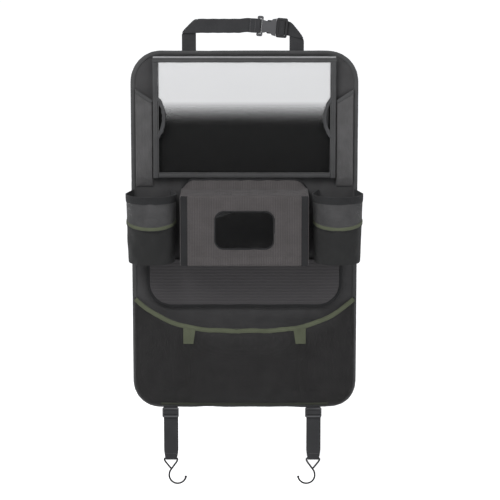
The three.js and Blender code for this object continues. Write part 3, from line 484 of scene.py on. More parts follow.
# %% Helpers for swept pieces
class Route:
    def __init__(self, points, closed=False):
        self.closed = closed
        self.points = [Vector(point) for point in points]
        if closed:
            self.points.append(self.points[0])
        self.reach = [0.0]
        for start, end in zip(self.points, self.points[1:]):
            self.reach.append(self.reach[-1] + (end - start).length)
        self.length = self.reach[-1]

    def place(self, share):
        goal = (share % 1.0 if self.closed else min(max(share, 0.0), 1.0)) * self.length
        after = min(max(bisect.bisect_right(self.reach, goal), 1), len(self.points) - 1)
        stretch = self.reach[after] - self.reach[after - 1]
        return self.points[after - 1].lerp(self.points[after], (goal - self.reach[after - 1]) / stretch)

    def heading(self, share, reach=3.0):
        step = reach / self.length
        return (self.place(share + step) - self.place(share - step)).normalized()


def oval(width, thickness, square=0.55):
    """A closed section like a flattened oval, from a share round it to its two offsets."""

    def section(v):
        angle = 2 * math.pi * v
        c, s = math.cos(angle), math.sin(angle)
        wide = math.copysign(abs(c) ** square, c) * width / 2
        tall = math.copysign(abs(s) ** square, s) * thickness / 2
        return wide, tall

    return section


def facing(share):
    """The way out of the panel's front, which is the same all along a route on it."""
    return spot(0, 1, 0)


def band(name, route, normal, section, columns, around=16, crumple=0.0):
    """Sweeps a section along a route. normal(share) is the way out of the face it lies on."""

    def place(u, v):
        point = route.place(u)
        out = normal(u).normalized()
        across = route.heading(u).cross(out).normalized()
        wide, tall = section(v)
        crease = crumple * noise.noise(Vector((u * route.length / 6, 3 * v, route.length)))
        return (point + across * (wide + crease) + out * (tall + crease)) * MM

    piece = laid(name, columns, around, place)
    mend(piece)
    return piece


def stitches(name, route, pitch, body="organizer", colour=None):
    """A row of stitches along a route: one bead is shaped and then copied to every place."""
    bpy.ops.object.select_all(action="DESELECT")
    bpy.ops.mesh.primitive_uv_sphere_add(segments=8, ring_count=5, radius=1)
    bead = bpy.context.object
    row = bmesh.new()
    count = max(int(route.length / pitch), 2)
    for index in range(count):
        share = (index + 0.5) / count
        along = route.heading(share, 1.0)
        lift = facing(share)
        across = along.cross(lift).normalized()
        turn = Matrix((along * 0.32 * pitch, across * 0.42, lift * 0.34)).transposed()
        copy = bead.data.copy()
        copy.transform(Matrix.Translation(route.place(share) * MM) @ (turn * MM).to_4x4())
        row.from_mesh(copy)
        bpy.data.meshes.remove(copy)
    row.to_mesh(bead.data)
    row.free()
    bead.name = bead.data.name = name
    return dressed(bead, colour or thread_grey, body, "webbing")


# %% [markdown]
# The panel is a soft board, two layers of cloth on a thin foam. It is nearly flat, with shallow
# waves and a few soft folds where it isn't held by pockets.

# %% Back panel
CORNER_TOP = 54
CORNER_LOW = 48
BINDING_WIDTH = 8
PANEL_WALL = 3.2
PANEL_MIDDLE = 2.1
CREASE_Z = -168
CREASE_HEIGHT = 30


def panel_half(z, inset):
    """Half of the panel's width at a height, inside an inset, narrowing round the corners."""
    half = PANEL_HALF - inset
    above = PANEL_HIGH - inset - z
    below = z - (PANEL_LOW + inset)
    for room, radius in ((above, CORNER_TOP - inset), (below, CORNER_LOW - inset)):
        if room < radius:
            return half - radius + math.sqrt(max(radius**2 - (radius - room) ** 2, 0))
    return half


def panel_place(u, v):
    low, high = PANEL_LOW + BINDING_WIDTH - 1, PANEL_HIGH - BINDING_WIDTH + 1
    z = low + (high - low) * v
    x = (2 * u - 1) * panel_half(z, BINDING_WIDTH - 1)
    folds = 1.6 * math.exp(-(((z - CREASE_Z) / CREASE_HEIGHT) ** 2)) * math.sin(z / 5 + 0.01 * x)
    free = math.sin(math.pi * u) * math.sin(math.pi * v)
    return at(x, PANEL_MIDDLE + free * (ripple(x, z, 70, 1.0) + 0.5 * folds), z)


panel = laid("panel_cloth", 120, 180, panel_place)
thick(panel, PANEL_WALL)
dressed(panel, panel_cloth, "organizer", "panel_fabric", "back_panel")
cloth_sheet(panel, "hung", "headrest_webbing_left", "headrest_webbing_right")

# %% [markdown]
# A woven tape is folded over the panel's edge and sewn down. Its front shows a rounded ridge, and
# the long edges wander a little, because cloth never feeds through a sewing machine evenly.


# %% Edge binding
def rounded_outline(left, right, low, high, low_radius, high_radius, steps=14):
    """Points round a rectangle with rounded corners, from the lower left corner to the right."""
    corners = [
        (left + low_radius, low + low_radius, low_radius, 180),
        (right - low_radius, low + low_radius, low_radius, 270),
        (right - high_radius, high - high_radius, high_radius, 0),
        (left + high_radius, high - high_radius, high_radius, 90),
    ]
    points = []
    for x, z, radius, start in corners:
        for step in range(steps + 1):
            angle = math.radians(start + 90 * step / steps)
            points.append((x + radius * math.cos(angle), z + radius * math.sin(angle)))
    return points


def even_points(corners, count=160):
    """Points at even steps along a closed outline, so that its straight stretches can wander too."""
    outline = Route([spot(x, 0, z) for x, z in corners], closed=True)
    stops = [outline.place(step / count) for step in range(count)]
    return [(stop.x, stop.z) for stop in stops]


def wander(x, z):
    """How far the tape strays from its line. The panel's free lower edge is the waviest."""
    return ripple(x, z, 45, 0.9 if z > 0 else 1.7)


def edge_route(inset, depth):
    """A closed line at an inset from the panel's edge, for the tape and for its stitches."""
    corners = rounded_outline(
        -PANEL_HALF + inset,
        PANEL_HALF - inset,
        PANEL_LOW + inset,
        PANEL_HIGH - inset,
        CORNER_LOW - inset,
        CORNER_TOP - inset,
    )
    return Route([spot(x, depth, z + wander(x, z)) for x, z in even_points(corners)], closed=True)


def binding_section(v):
    """A flat oval with a rounded ridge along the middle of its front."""
    wide, tall = oval(8.2, 4.9)(v)
    ridge = 0.8 * math.exp(-((wide / 1.9) ** 2)) if tall > 0 else 0.0
    return wide, tall + ridge


edge_binding = band("edge_tape", edge_route(4, 2.7), facing, binding_section, 460, 20, crumple=0.25)
dressed(edge_binding, dark_tape, "organizer", "binding_tape", "edge_binding")
stitches("edge_stitches", edge_route(6.9, 5.0), 3.6, colour=dark_tape)

# %% [markdown]
# The window is one sheet of film in a frame of tape. A half moon is cut from each side of it, as a
# second way into the pocket behind. A cylinder cuts it, as a round knife would.

# %% Window film
FILM_LEFT, FILM_RIGHT, FILM_BACK, FILM_FRONT, FILM_LOW, FILM_HIGH = span("window_film")
FILM_DEPTH = (FILM_BACK + FILM_FRONT) / 2
FILM_WALL = 0.6
WINDOW_HALF = span("window_band_top")[1]
BAND_LEFT_INNER = span("window_band_left")[1]
WINDOW_LOW = span("window_band_left")[4]
WINDOW_HIGH = span("window_band_top")[5]
BAND_FRONT = span("window_band_top")[3]
TOP_BAND_LOW = span("window_band_top")[4]
NOTCH_Z = 207
NOTCH_CENTRE = 201.84
NOTCH_RADIUS = 62.04
KNIFE_INSET = 3.5


def film_place(u, v):
    x = FILM_LEFT + (FILM_RIGHT - FILM_LEFT) * u
    z = FILM_LOW + (FILM_HIGH - FILM_LOW) * v
    slack = 16 * u * (1 - u) * v * (1 - v)
    return at(x, FILM_DEPTH + slack * ripple(x, z, 55, 1.4, 3.0), z)


film = laid("window_sheet", 90, 60, film_place)
thick(film, FILM_WALL)
for side in (-1, 1):
    bpy.ops.object.select_all(action="DESELECT")
    bpy.ops.mesh.primitive_cylinder_add(
        vertices=96,
        radius=(NOTCH_RADIUS - KNIFE_INSET) * MM,
        depth=0.02,
        location=at(side * NOTCH_CENTRE, FILM_DEPTH, NOTCH_Z),
        rotation=(math.pi / 2, 0, 0),
    )
    knife = bpy.context.object
    modify(film, "BOOLEAN", operation="DIFFERENCE", object=knife, solver="EXACT")
    bpy.data.objects.remove(knife)
dressed(film, clear_film, "organizer", "clear_film", "window_film")

# %% [markdown]
# The frame's four bands are folded tape. The side bands also stand off the panel, which gives the
# pocket its room, so each has a deep wall behind its face.


# %% Window frame
def face_band(name, start, end, width, thickness, node_name):
    """A band of the frame that strays a little from its line, with a row of stitches on its face."""
    route = Route([spot(*start), spot(*end)])
    steps = int(route.length / 3)
    points = [route.place(i / steps) for i in range(steps + 1)]
    strayed = [p + spot(ripple(p.z, p.x, 20, 0.4), 0, ripple(p.x, p.z, 24, 0.4)) for p in points]
    piece = band(name, Route(strayed), facing, oval(width, thickness, 0.4), steps, 20, crumple=0.2)
    front = spot(0, thickness / 2 + 0.1, 0)
    row = Route([point + front for point in strayed])
    stitches(f"{name}_stitches", row, 3.4, colour=dark_tape)
    return dressed(piece, dark_tape, "organizer", "binding_tape", node_name)


band_depth = (ON_PANEL + BAND_FRONT) / 2
band_thick = BAND_FRONT - ON_PANEL
side_middle = (WINDOW_HALF + abs(BAND_LEFT_INNER)) / 2
side_width = WINDOW_HALF - abs(BAND_LEFT_INNER)
for name, side in (("left", -1), ("right", 1)):
    face_band(
        f"window_side_{name}",
        (side * side_middle, band_depth, WINDOW_LOW),
        (side * side_middle, band_depth, TOP_BAND_LOW),
        side_width,
        band_thick,
        f"window_band_{name}",
    )
top_back = span("window_band_top")[2]
face_band(
    "window_top",
    (-WINDOW_HALF, (top_back + BAND_FRONT) / 2, (TOP_BAND_LOW + WINDOW_HIGH) / 2),
    (WINDOW_HALF, (top_back + BAND_FRONT) / 2, (TOP_BAND_LOW + WINDOW_HIGH) / 2),
    WINDOW_HIGH - TOP_BAND_LOW,
    BAND_FRONT - top_back,
    "window_band_top",
)
bottom_left, bottom_right, _, _, bottom_low, bottom_high = span("window_band_bottom")
face_band(
    "window_bottom",
    (bottom_left, band_depth, (bottom_low + bottom_high) / 2),
    (bottom_right, band_depth, (bottom_low + bottom_high) / 2),
    bottom_high - bottom_low,
    band_thick,
    "window_band_bottom",
)

# %% [markdown]
# Behind the film lies a thin black lining, and a thin lip runs along the film's open top. Pale lines
# along the other three sides are a painted highlight on the film's edge where it meets its tape.


# %% Window lining and lip
def lining_place(u, v):
    x = (2 * u - 1) * (side_middle - 1)
    z = WINDOW_LOW + 3 + (WINDOW_HIGH - WINDOW_LOW - 6) * v
    return at(x, ON_PANEL + 0.5 + ripple(x, z, 50, 0.3, 6.0), z)


lining = laid("window_lining", 60, 50, lining_place)
thick(lining, 0.5)
dressed(lining, lining_cloth, "organizer", "panel_fabric")
cloth_sheet(lining, "stretched", "panel_cloth")

LIP_DROP = 2.3
lip_ends = [spot(side * (WINDOW_HALF - 1), BAND_FRONT, WINDOW_HIGH - LIP_DROP) for side in (-1, 1)]
lip = band("window_lip", Route(lip_ends), facing, oval(2.7, 1.6, 0.9), 120, 10, crumple=0.15)
dressed(lip, film_edge, "organizer", "clear_film")
inner = side_middle - side_width / 2 - 0.4
glint_depth = BAND_FRONT - 0.6
# These pale lines paint the highlight on the film's cut edge; the film itself has no pale line there.
for name, start, end in (
    ("left", (-inner, FILM_HIGH - 4), (-inner, WINDOW_LOW + 8)),
    ("right", (inner, FILM_HIGH - 4), (inner, WINDOW_LOW + 8)),
    ("low", (-inner, WINDOW_LOW + 9.2), (inner, WINDOW_LOW + 9.2)),
):
    edge = Route([spot(start[0], glint_depth, start[1]), spot(end[0], glint_depth, end[1])])
    line = band(f"window_edge_glint_{name}", edge, facing, oval(0.9, 1.0, 1.0), 60, 8)
    dressed(line, thread_grey, "organizer", "binding_tape")

# %% [markdown]
# The edge of each half moon is bound. The tape crinkles there, because it is pulled round a tight
# curve, so it is swept along the arc with more crumple than any other tape.

# %% Window notches
NOTCH_HALF_ANGLE = 37.2
NOTCH_TAPE_RADIUS = NOTCH_RADIUS - 3
for name, side in (("left", -1), ("right", 1)):
    points = []
    for step in range(41):
        angle = math.radians(NOTCH_HALF_ANGLE * (step / 20 - 1))
        across = NOTCH_CENTRE - NOTCH_TAPE_RADIUS * math.cos(angle)
        z = NOTCH_Z + NOTCH_TAPE_RADIUS * math.sin(angle)
        points.append(spot(side * across, FILM_DEPTH, z))
    trim = band(f"notch_tape_{name}", Route(points), facing, oval(6.4, 3.4), 60, 14, crumple=1.2)
    dressed(trim, glinting_crinkled_tape, "organizer", "binding_tape", f"cable_notch_{name}")

# %% [markdown]
# Beside the window sits a narrow mesh pocket on each side. It is one piece of netting that rises
# from the panel along three edges, with a slanted tape hem along its open top.

# %% Side pockets
POCKET_OUTER_DROP = 20


def side_pocket(name, side):
    left, right, back, front, low, high = span(f"side_pocket_{name}")
    inner, outer = sorted((abs(left), abs(right)))

    def top(x):
        return high - POCKET_OUTER_DROP * (outer - x) / (outer - inner)

    def place(u, v):
        x = inner + (outer - inner) * u
        z = low + (top(x) - low) * v
        swell = min(1, 7 * math.sin(math.pi * u)) ** 0.6 * min(1, 10 * v) ** 0.6
        return at(side * x, back + (front - back - 0.5) * swell + ripple(x, z, 14, 0.7, side), z)

    cloth = laid(f"side_mesh_painted_sheen_{name}", 36, 80, place)
    thick(cloth, 0.5)
    dressed(cloth, side_mesh_painted_sheen, "organizer", "mesh_fabric", f"side_pocket_{name}")
    cloth_sheet(cloth, "stretched", "panel_cloth")
    hem_points = []
    for u in (0.04, 0.25, 0.5, 0.75, 0.96):
        x = inner + (outer - inner) * u
        hem_points.append(spot(side * x, front - 0.4, top(x) - 3))
    hem = band(f"side_hem_{name}", Route(hem_points), facing, oval(6.4, 2.2), 24, 12, crumple=0.3)
    dressed(hem, dark_tape, "organizer", "binding_tape", f"side_pocket_hem_{name}")


side_pocket("left", -1)
side_pocket("right", 1)

# %% [markdown]
# A cup holder leaves the panel at a seam, goes round in an arc and comes back to a second seam. Each
# cloth of it follows the same line, so one function gives the wall's place at any height.

# %% Cup holders
CUP_X = 165
CUP_FOOT = 33
CUP_RIM = span("cup_elastic_left")[5]
ELASTIC_LOW = span("cup_elastic_left")[4]
CUP_LOW = span("cup_floor_left")[4]
CUP_TOP_RADIUS = 45
CUP_LOW_RADIUS = 41
CUP_AXIS = span("cup_elastic_left")[3] - CUP_TOP_RADIUS - 0.4
CUP_SEAM = PANEL_FRONT + 0.3
PIPING_HIGH = span("cup_piping_left")[5]
PIPING_WIDTH = 6.5
PIPING_SEAM_DROP = 0.3
PIPING_DIP = 9
LEAD = 0.09
CUP_FOLDS = 42
CUP_FLOOR_SAG = 1.5


def cup_wall(side, u, z, offset):
    """A place on the wall, a share u of the way from the first seam round to the second."""
    share = (z - CUP_LOW) / (CUP_RIM - CUP_LOW)
    radius = CUP_LOW_RADIUS + (CUP_TOP_RADIUS - CUP_LOW_RADIUS) * share - 0.6
    reach = math.hypot(CUP_FOOT, CUP_AXIS - CUP_SEAM)
    tangent = math.acos(min(radius / reach, 1)) - math.atan2(CUP_FOOT, CUP_AXIS - CUP_SEAM)
    around = min(max((u - LEAD) / (1 - 2 * LEAD), 0), 1)
    angle = -tangent + (math.pi + 2 * tangent) * around
    x = -(radius + offset) * math.cos(angle)
    depth = CUP_AXIS + (radius + offset) * math.sin(angle)
    if u < LEAD or u > 1 - LEAD:
        turn = -1 if u < 0.5 else 1
        lead = (u if u < 0.5 else 1 - u) / LEAD
        x = turn * CUP_FOOT * (1 - lead) + x * lead
        depth = CUP_SEAM * (1 - lead) + depth * lead
    return side * CUP_X + x, depth, z


def cup_cloth_piece(name, side, low, high, rows, wall, puckers=0.0, waves=0.0):
    """Cloth of the wall between two heights, each a function of the share along the wall."""

    def place(u, v):
        bottom, top = low(u), high(u)
        z = bottom + (top - bottom) * v
        loose = math.sin(math.pi * u)
        gather = math.sin(2 * math.pi * CUP_FOLDS * u + 2 * math.sin(9 * u))
        pucker = puckers * gather * math.sin(math.pi * v)
        sag = waves * loose * noise.noise(Vector((u * 9, z / 22, side * 4.0)))
        x, depth, z = cup_wall(side, u, z, pucker * loose + sag)
        return at(x, depth, z)

    piece = laid(name, 110, rows, place)
    return thick(piece, wall)


def piping_top(side, u):
    """The piping lies level at the back of the holder and dips round its front."""
    _, depth, _ = cup_wall(side, u, CUP_RIM, 0)
    return PIPING_HIGH - PIPING_DIP * max(0.0, (depth - CUP_AXIS) / CUP_TOP_RADIUS)


def cup_cloths(name, side):
    """The sleeve, the netting above it and the elastic band at the rim."""

    def sleeve_top(u):
        return piping_top(side, u) - PIPING_WIDTH + 1

    def net_foot(u):
        return piping_top(side, u) - 1

    sleeve = cup_cloth_piece(f"cup_body_{name}", side, lambda u: CUP_LOW, sleeve_top, 30, 1.1, waves=3.0)
    dressed(sleeve, cup_cloth, "organizer", "panel_fabric", f"cup_sleeve_{name}")
    cloth_sheet(sleeve, "hung", "panel_cloth")
    net = cup_cloth_piece(f"cup_net_{name}", side, net_foot, lambda u: ELASTIC_LOW + 1, 16, 0.6, waves=1.4)
    dressed(net, cup_mesh_cloth, "organizer", "mesh_fabric", f"cup_mesh_{name}")
    cloth_sheet(net, "hung", "panel_cloth")
    rim = cup_cloth_piece(
        f"cup_rim_{name}", side, lambda u: ELASTIC_LOW, lambda u: CUP_RIM, 12, 1.9, puckers=0.5
    )
    dressed(rim, elastic_band, "organizer", "elastic", f"cup_elastic_{name}")
    cloth_sheet(rim, "gathered", "panel_cloth")


def cup_trim(name, side):
    """The piping, and the line of its seam below it."""

    def line(drop, offset):
        shares = [step / 80 for step in range(81)]
        return [spot(*cup_wall(side, u, piping_top(side, u) - drop, offset)) for u in shares]

    piping_line = line(PIPING_WIDTH / 2, 0)

    def outwards(u):
        heading = Route(piping_line).heading(u)
        return Vector((0, 0, 1)).cross(heading) * -1

    piping = band(
        f"cup_olive_{name}", Route(piping_line), outwards, oval(6.6, 3.0, 0.6), 120, 12, crumple=0.35
    )
    dressed(piping, olive_tape, "organizer", "olive_tape", f"cup_piping_{name}")
    seam_line = line(PIPING_WIDTH + PIPING_SEAM_DROP, 1.0)
    seam = band(f"cup_seam_{name}", Route(seam_line), outwards, oval(1.6, 1.4), 120, 8, crumple=0.1)
    dressed(seam, black_tape, "organizer", "olive_tape")


def cup_floor(name, side):
    def place(u, v):
        """From the seams' line on the panel forwards to the sleeve, sagging a little between them."""
        x, depth, z = cup_wall(side, u, CUP_LOW + 0.8, -0.4)
        behind = spot(side * CUP_X - CUP_FOOT * (1 - 2 * u), CUP_SEAM, z)
        sag = spot(0, 0, CUP_FLOOR_SAG * math.sin(math.pi * v))
        return (behind.lerp(spot(x, depth, z), v) - sag) * MM

    base = laid(f"cup_base_{name}", 60, 14, place)
    mend(base, close=False)
    thick(base, 1.2)
    dressed(base, cup_cloth, "organizer", "panel_fabric", f"cup_floor_{name}")


for name, side in (("left", -1), ("right", 1)):
    cup_cloths(name, side)
    cup_trim(name, side)
    cup_floor(name, side)

# %% [markdown]
# The tissue pocket is a box of netting without a back. Its wall runs round the sides and the front.
# The top and the floor are patches stretched between the wall's edges, so all three join cleanly.

# %% Tissue pocket places
BOX_HALF, BOX_FRONT, BOX_LOW = (span("tissue_pocket")[i] for i in (1, 3, 4))
BOX_TOP = 79
BOX_EDGE = 3
BOX_OUT = BOX_FRONT - 0.5 - ON_PANEL
HEM_DEPTH = span("tissue_hem")[3] - 1
HEM_TOP = span("tissue_hem")[5]
HEM_CORNER = 21
SIDE_COLUMNS, FRONT_COLUMNS, WALL_ROWS = 27, 96, 70
WALL_COLUMNS = 2 * SIDE_COLUMNS + FRONT_COLUMNS


def quarter(x, z, radius, start, end, steps=5):
    """Points on an arc about (x, z), as pairs."""
    angles = [math.radians(start + (end - start) * i / steps) for i in range(steps + 1)]
    return [(x + radius * math.cos(a), z + radius * math.sin(a)) for a in angles]


def box_ring(inset, z):
    """Points round the two sides and the front at one height, inside an inset."""
    half, front = BOX_HALF - inset, ON_PANEL + BOX_OUT - inset
    near = quarter(half - BOX_EDGE, front - BOX_EDGE, BOX_EDGE, 0, 45)
    far = quarter(half - BOX_EDGE, front - BOX_EDGE, BOX_EDGE, 45, 90)
    side = [(half, ON_PANEL)] + near
    left = [spot(-x, depth, z) for x, depth in side]
    middle = [spot(-x, depth, z) for x, depth in far] + [spot(x, depth, z) for x, depth in reversed(far)]
    right = [spot(x, depth, z) for x, depth in reversed(side)]
    points = []
    for part, columns in ((left, SIDE_COLUMNS), (middle, FRONT_COLUMNS), (right, SIDE_COLUMNS)):
        points += [Route(part).place(i / columns) for i in range(columns)]
    return points + [right[-1]]


profile = [(BOX_EDGE - x, z) for x, z in quarter(0, BOX_LOW + BOX_EDGE, BOX_EDGE, -90, 0)]
profile += [(BOX_EDGE - x, z) for x, z in quarter(0, BOX_TOP - BOX_EDGE, BOX_EDGE, 0, 90)]
box_profile = Route([spot(inset, 0, z) for inset, z in profile])
box_rows = [box_profile.place(row / WALL_ROWS) for row in range(WALL_ROWS + 1)]
box_rings = [box_ring(stop.x, stop.z) for stop in box_rows]
print("box wall:", WALL_COLUMNS, "by", WALL_ROWS)


# %% Tissue pocket wall
def wall_point(column, row):
    """A point of the wall, with some slack in the middle of the front and of each side."""
    point = box_rings[row][column]
    after = column - SIDE_COLUMNS
    on_front = 0 <= after <= FRONT_COLUMNS
    share = after / FRONT_COLUMNS if on_front else (column % (SIDE_COLUMNS + FRONT_COLUMNS)) / SIDE_COLUMNS
    loose = math.sqrt(max(math.sin(math.pi * share), 0)) * math.sin(math.pi * row / WALL_ROWS)
    slack = loose * ripple(point.x + 40, point.z - point.y, 38, 1.8, 7.0)
    way = Vector((0, -1, 0)) if on_front else Vector((math.copysign(1, point.x), 0, 0))
    return point + way * slack


def wall_place(u, v):
    return wall_point(round(u * WALL_COLUMNS), round(v * WALL_ROWS)) * MM


def patch(front, back, left, right):
    """A place function for cloth stretched between four lines of points."""

    def place(u, v):
        i, j = round(u * (len(front) - 1)), round(v * (len(left) - 1))
        along = front[i].lerp(back[i], v)
        across = left[j].lerp(right[j], u)
        corners = front[0].lerp(front[-1], u).lerp(back[0].lerp(back[-1], u), v)
        return along + across - corners

    return place


def hem_point(x):
    """The elastic hem falls to the wall's top at both of its ends."""
    fall = min(max(abs(x) - (BOX_HALF - BOX_EDGE - HEM_CORNER), 0) / HEM_CORNER, 1) ** 2
    depth = HEM_DEPTH + (ON_PANEL - HEM_DEPTH) * fall
    pleat = (1 - fall) * (0.7 * math.sin(x / 5.5) + ripple(x, 0, 12, 1.2))
    return spot(x, depth + pleat, HEM_TOP + (BOX_TOP - HEM_TOP) * fall + 0.5 * pleat)


def rim_lines(ring, back):
    front = ring[SIDE_COLUMNS : SIDE_COLUMNS + FRONT_COLUMNS + 1]
    left = ring[SIDE_COLUMNS::-1]
    right = ring[SIDE_COLUMNS + FRONT_COLUMNS :]
    return patch(front, back, left, right)


hem_half = BOX_HALF - BOX_EDGE
hem_points = [hem_point(hem_half * (2 * i / FRONT_COLUMNS - 1)) for i in range(FRONT_COLUMNS + 1)]
top_patch = rim_lines(box_rings[-1], hem_points)
low_ring = box_rings[0]
low_back = [low_ring[0].lerp(low_ring[-1], i / FRONT_COLUMNS) for i in range(FRONT_COLUMNS + 1)]
low_patch = rim_lines(low_ring, low_back)


def top_place(u, v):
    """The top lies nearly flat and rises to the hem over its last stretch, with soft folds."""
    point = top_patch(u, v)
    rise = max((v - 0.7) / 0.3, 0) ** 1.6
    loose = math.sin(math.pi * u) * math.sin(math.pi * v)
    folds = ripple(point.x, -point.y, 16, 3.6, 4.0) + 1.2 * math.sin(point.x / 5.5) * v**3
    return Vector((point.x, point.y, BOX_TOP + (point.z - BOX_TOP) * rise + loose * (1 + folds))) * MM


def low_place(u, v):
    return low_patch(u, v) * MM


# %% [markdown]
# The wall, the top and the floor are joined into one mesh and then given a thickness. A flat punch
# with rounded corners cuts the hole through the front, as a press would.

# %% Tissue pocket cloth
SLOT_Z = 18
SLOT_HALF = 52
SLOT_RISE = 33.5
SLOT_CORNER = 16
PUNCH_REACH = 12

wall = laid("tissue_net", WALL_COLUMNS, WALL_ROWS, wall_place)
lid = laid("tissue_lid", FRONT_COLUMNS, SIDE_COLUMNS, top_place)
base = laid("tissue_floor", FRONT_COLUMNS, SIDE_COLUMNS, low_place)
box_cuts = [cuts[piece.name] for piece in (wall, lid, base)]
cuts["tissue_net"] = (box_cuts[0][0], sum(cut[1] for cut in box_cuts), sum(cut[2] for cut in box_cuts))
bpy.ops.object.select_all(action="DESELECT")
for piece in (wall, lid, base):
    piece.select_set(True)
bpy.context.view_layer.objects.active = wall
bpy.ops.object.join()
mend(wall, close=False)
thick(wall, 0.8)
slot_outline = rounded_outline(
    -SLOT_HALF, SLOT_HALF, SLOT_Z - SLOT_RISE, SLOT_Z + SLOT_RISE, SLOT_CORNER, SLOT_CORNER, 10
)
bpy.ops.object.select_all(action="DESELECT")
bpy.ops.mesh.primitive_circle_add(vertices=len(slot_outline), radius=1, fill_type="NGON")
punch = bpy.context.object
for vertex, (x, z) in zip(punch.data.vertices, slot_outline):
    vertex.co = at(x, BOX_FRONT + PUNCH_REACH, z)
modify(punch, "SOLIDIFY", thickness=0.03, offset=0)
mend(punch)
modify(wall, "BOOLEAN", operation="DIFFERENCE", object=punch, solver="EXACT")
bpy.data.objects.remove(punch)
dressed(wall, tissue_mesh, "organizer", "mesh_fabric", "tissue_pocket")
slot_area = (4 * SLOT_HALF * SLOT_RISE - (4 - math.pi) * SLOT_CORNER**2) * MM**2
cloth_sheet(wall, "folded", "panel_cloth", hole=slot_area)

# %% [markdown]
# A thin edge runs round the hole, and elastic gathers the back edge of the top. Inside each upright
# corner lies a tape, laid on the same points as the wall, so that it follows every fold of it.

# %% Tissue pocket trim
STRIP_COLUMNS = 5
STRIP_LOW, STRIP_ROWS = 1, 68

slot_route = Route([spot(x, BOX_FRONT - 0.3, z) for x, z in slot_outline], closed=True)
slot_edge = band("tissue_slot_edge", slot_route, facing, oval(2.6, 1.8, 0.8), 150, 10, crumple=0.2)
dressed(slot_edge, black_tape, "organizer", "elastic")


def tissue_strip(name, side):
    """The tape inside the box's upright corner shows through as a dark strip beside it."""

    def place(u, v):
        column = SIDE_COLUMNS + round(STRIP_COLUMNS * u)
        row = STRIP_LOW + round(STRIP_ROWS * v)
        point = wall_point(column if side < 0 else WALL_COLUMNS - column, row)
        return (point + spot(0, 0.8, 0)) * MM

    strip = laid(f"tissue_strip_{name}", STRIP_COLUMNS, STRIP_ROWS, place)
    thick(strip, 0.5)
    dressed(strip, black_tape, "organizer", "binding_tape")


tissue_strip("left", -1)
tissue_strip("right", 1)
hem_line = [point + spot(0, 0.3, 0.6) for point in hem_points]
hem = band("tissue_elastic", Route(hem_line), facing, oval(3.8, 2.2), 200, 12, crumple=0.5)
dressed(hem, elastic_band, "organizer", "elastic", "tissue_hem")

# %% [markdown]
# The middle pocket is flat, with ribs that run across, and its rounded lower edge is bound.

# %% Middle pocket
MID_LEFT, MID_RIGHT, _, MID_FRONT, MID_LOW, MID_HIGH = span("middle_pocket_binding")
MID_SHEET = (span("middle_pocket")[2] + span("middle_pocket")[3]) / 2
MID_CORNER = 45


def middle_place(u, v):
    z = MID_LOW + 2 + (MID_HIGH - MID_LOW - 2) * v
    room = z - MID_LOW
    half = MID_RIGHT - 2
    if room < MID_CORNER:
        half = half - MID_CORNER + math.sqrt(max(MID_CORNER**2 - (MID_CORNER - room) ** 2, 0))
    x = (2 * u - 1) * half
    return at(x, MID_SHEET + math.sin(math.pi * u) * (ripple(x, z, 36, 1.1, 2.0)), z)


middle = laid("middle_cloth", 110, 50, middle_place)
thick(middle, 1.0)
dressed(middle, ribbed_cloth, "organizer", "panel_fabric", "middle_pocket")
cloth_sheet(middle, "stretched", "panel_cloth")
mid_points = rounded_outline(MID_LEFT + 3, MID_RIGHT - 3, MID_LOW + 3, MID_HIGH + 90, MID_CORNER - 3, 1)
mid_line = [(x, z) for x, z in mid_points if z < MID_HIGH - 6]
mid_line = [(MID_LEFT + 3, MID_HIGH)] + mid_line + [(MID_RIGHT - 3, MID_HIGH)]
mid_depth = (ON_PANEL + MID_FRONT) / 2
mid_route = Route([spot(x, mid_depth, z) for x, z in mid_line])
mid_section = oval(6, MID_FRONT - ON_PANEL, 0.6)
mid_tape = band("middle_tape", mid_route, facing, mid_section, 200, 14, crumple=0.3)
dressed(mid_tape, black_tape, "organizer", "binding_tape", "middle_pocket_binding")

# %% [markdown]
# The lower pocket is a wide sheet of netting that swells in the middle. Its top edge hangs between
# the corners and the two seams, bound with olive tape, and a tab of the same tape marks each seam.

# %% Lower pocket
LOW_HALF = span("lower_pocket")[1]
LOW_LOW = span("lower_pocket")[4]
LOW_CORNER_TOP = PANEL_HIGH - 444
LOW_MIDDLE_TOP = PANEL_HIGH - 496.5
LOW_BULGE = 32
SEAM_X = 99
SEAM_PULL = 1.4


def lower_top(x):
    return LOW_MIDDLE_TOP + (LOW_CORNER_TOP - LOW_MIDDLE_TOP) * abs(x / LOW_HALF) ** 3.2


def lower_half(z):
    radius = CORNER_LOW - 4
    room = min(max(z - LOW_LOW, 0), radius)
    return LOW_HALF - radius + math.sqrt(radius**2 - (radius - room) ** 2)


def lower_depth(x, z):
    share = min(abs(x) / lower_half(z), 1)
    fall = min(max((LOW_MIDDLE_TOP - z) / (LOW_MIDDLE_TOP - LOW_LOW), 0), 1)
    swell = (1 - share**3) * (1 - fall**5)
    return PANEL_FRONT + 0.3 + LOW_BULGE * swell + 0.5


def seam_pull(x):
    """How much the two seams draw the sheet in."""
    return sum(math.exp(-(((x - s * SEAM_X) / 7) ** 2)) for s in (-1, 1))


def lower_place(u, v):
    wide = (2 * u - 1) * LOW_HALF
    top = lower_top(wide)
    z = top + (LOW_LOW - top) * (1 - v) ** 0.8
    x = (2 * u - 1) * max(lower_half(z), LOW_HALF - CORNER_LOW)
    loose = math.sin(math.pi * u) * (1 - v * 0.4)
    depth = lower_depth(x, z) + loose * ripple(x, z, 30, 2.6, 5.0) - SEAM_PULL * seam_pull(x) * loose
    return at(x, max(depth, PANEL_FRONT + 0.4), z)


lower = laid("lower_net", 150, 70, lower_place)
thick(lower, 0.6)
dressed(lower, pocket_mesh, "organizer", "mesh_fabric", "lower_pocket")
cloth_sheet(lower, "hung", "panel_cloth")

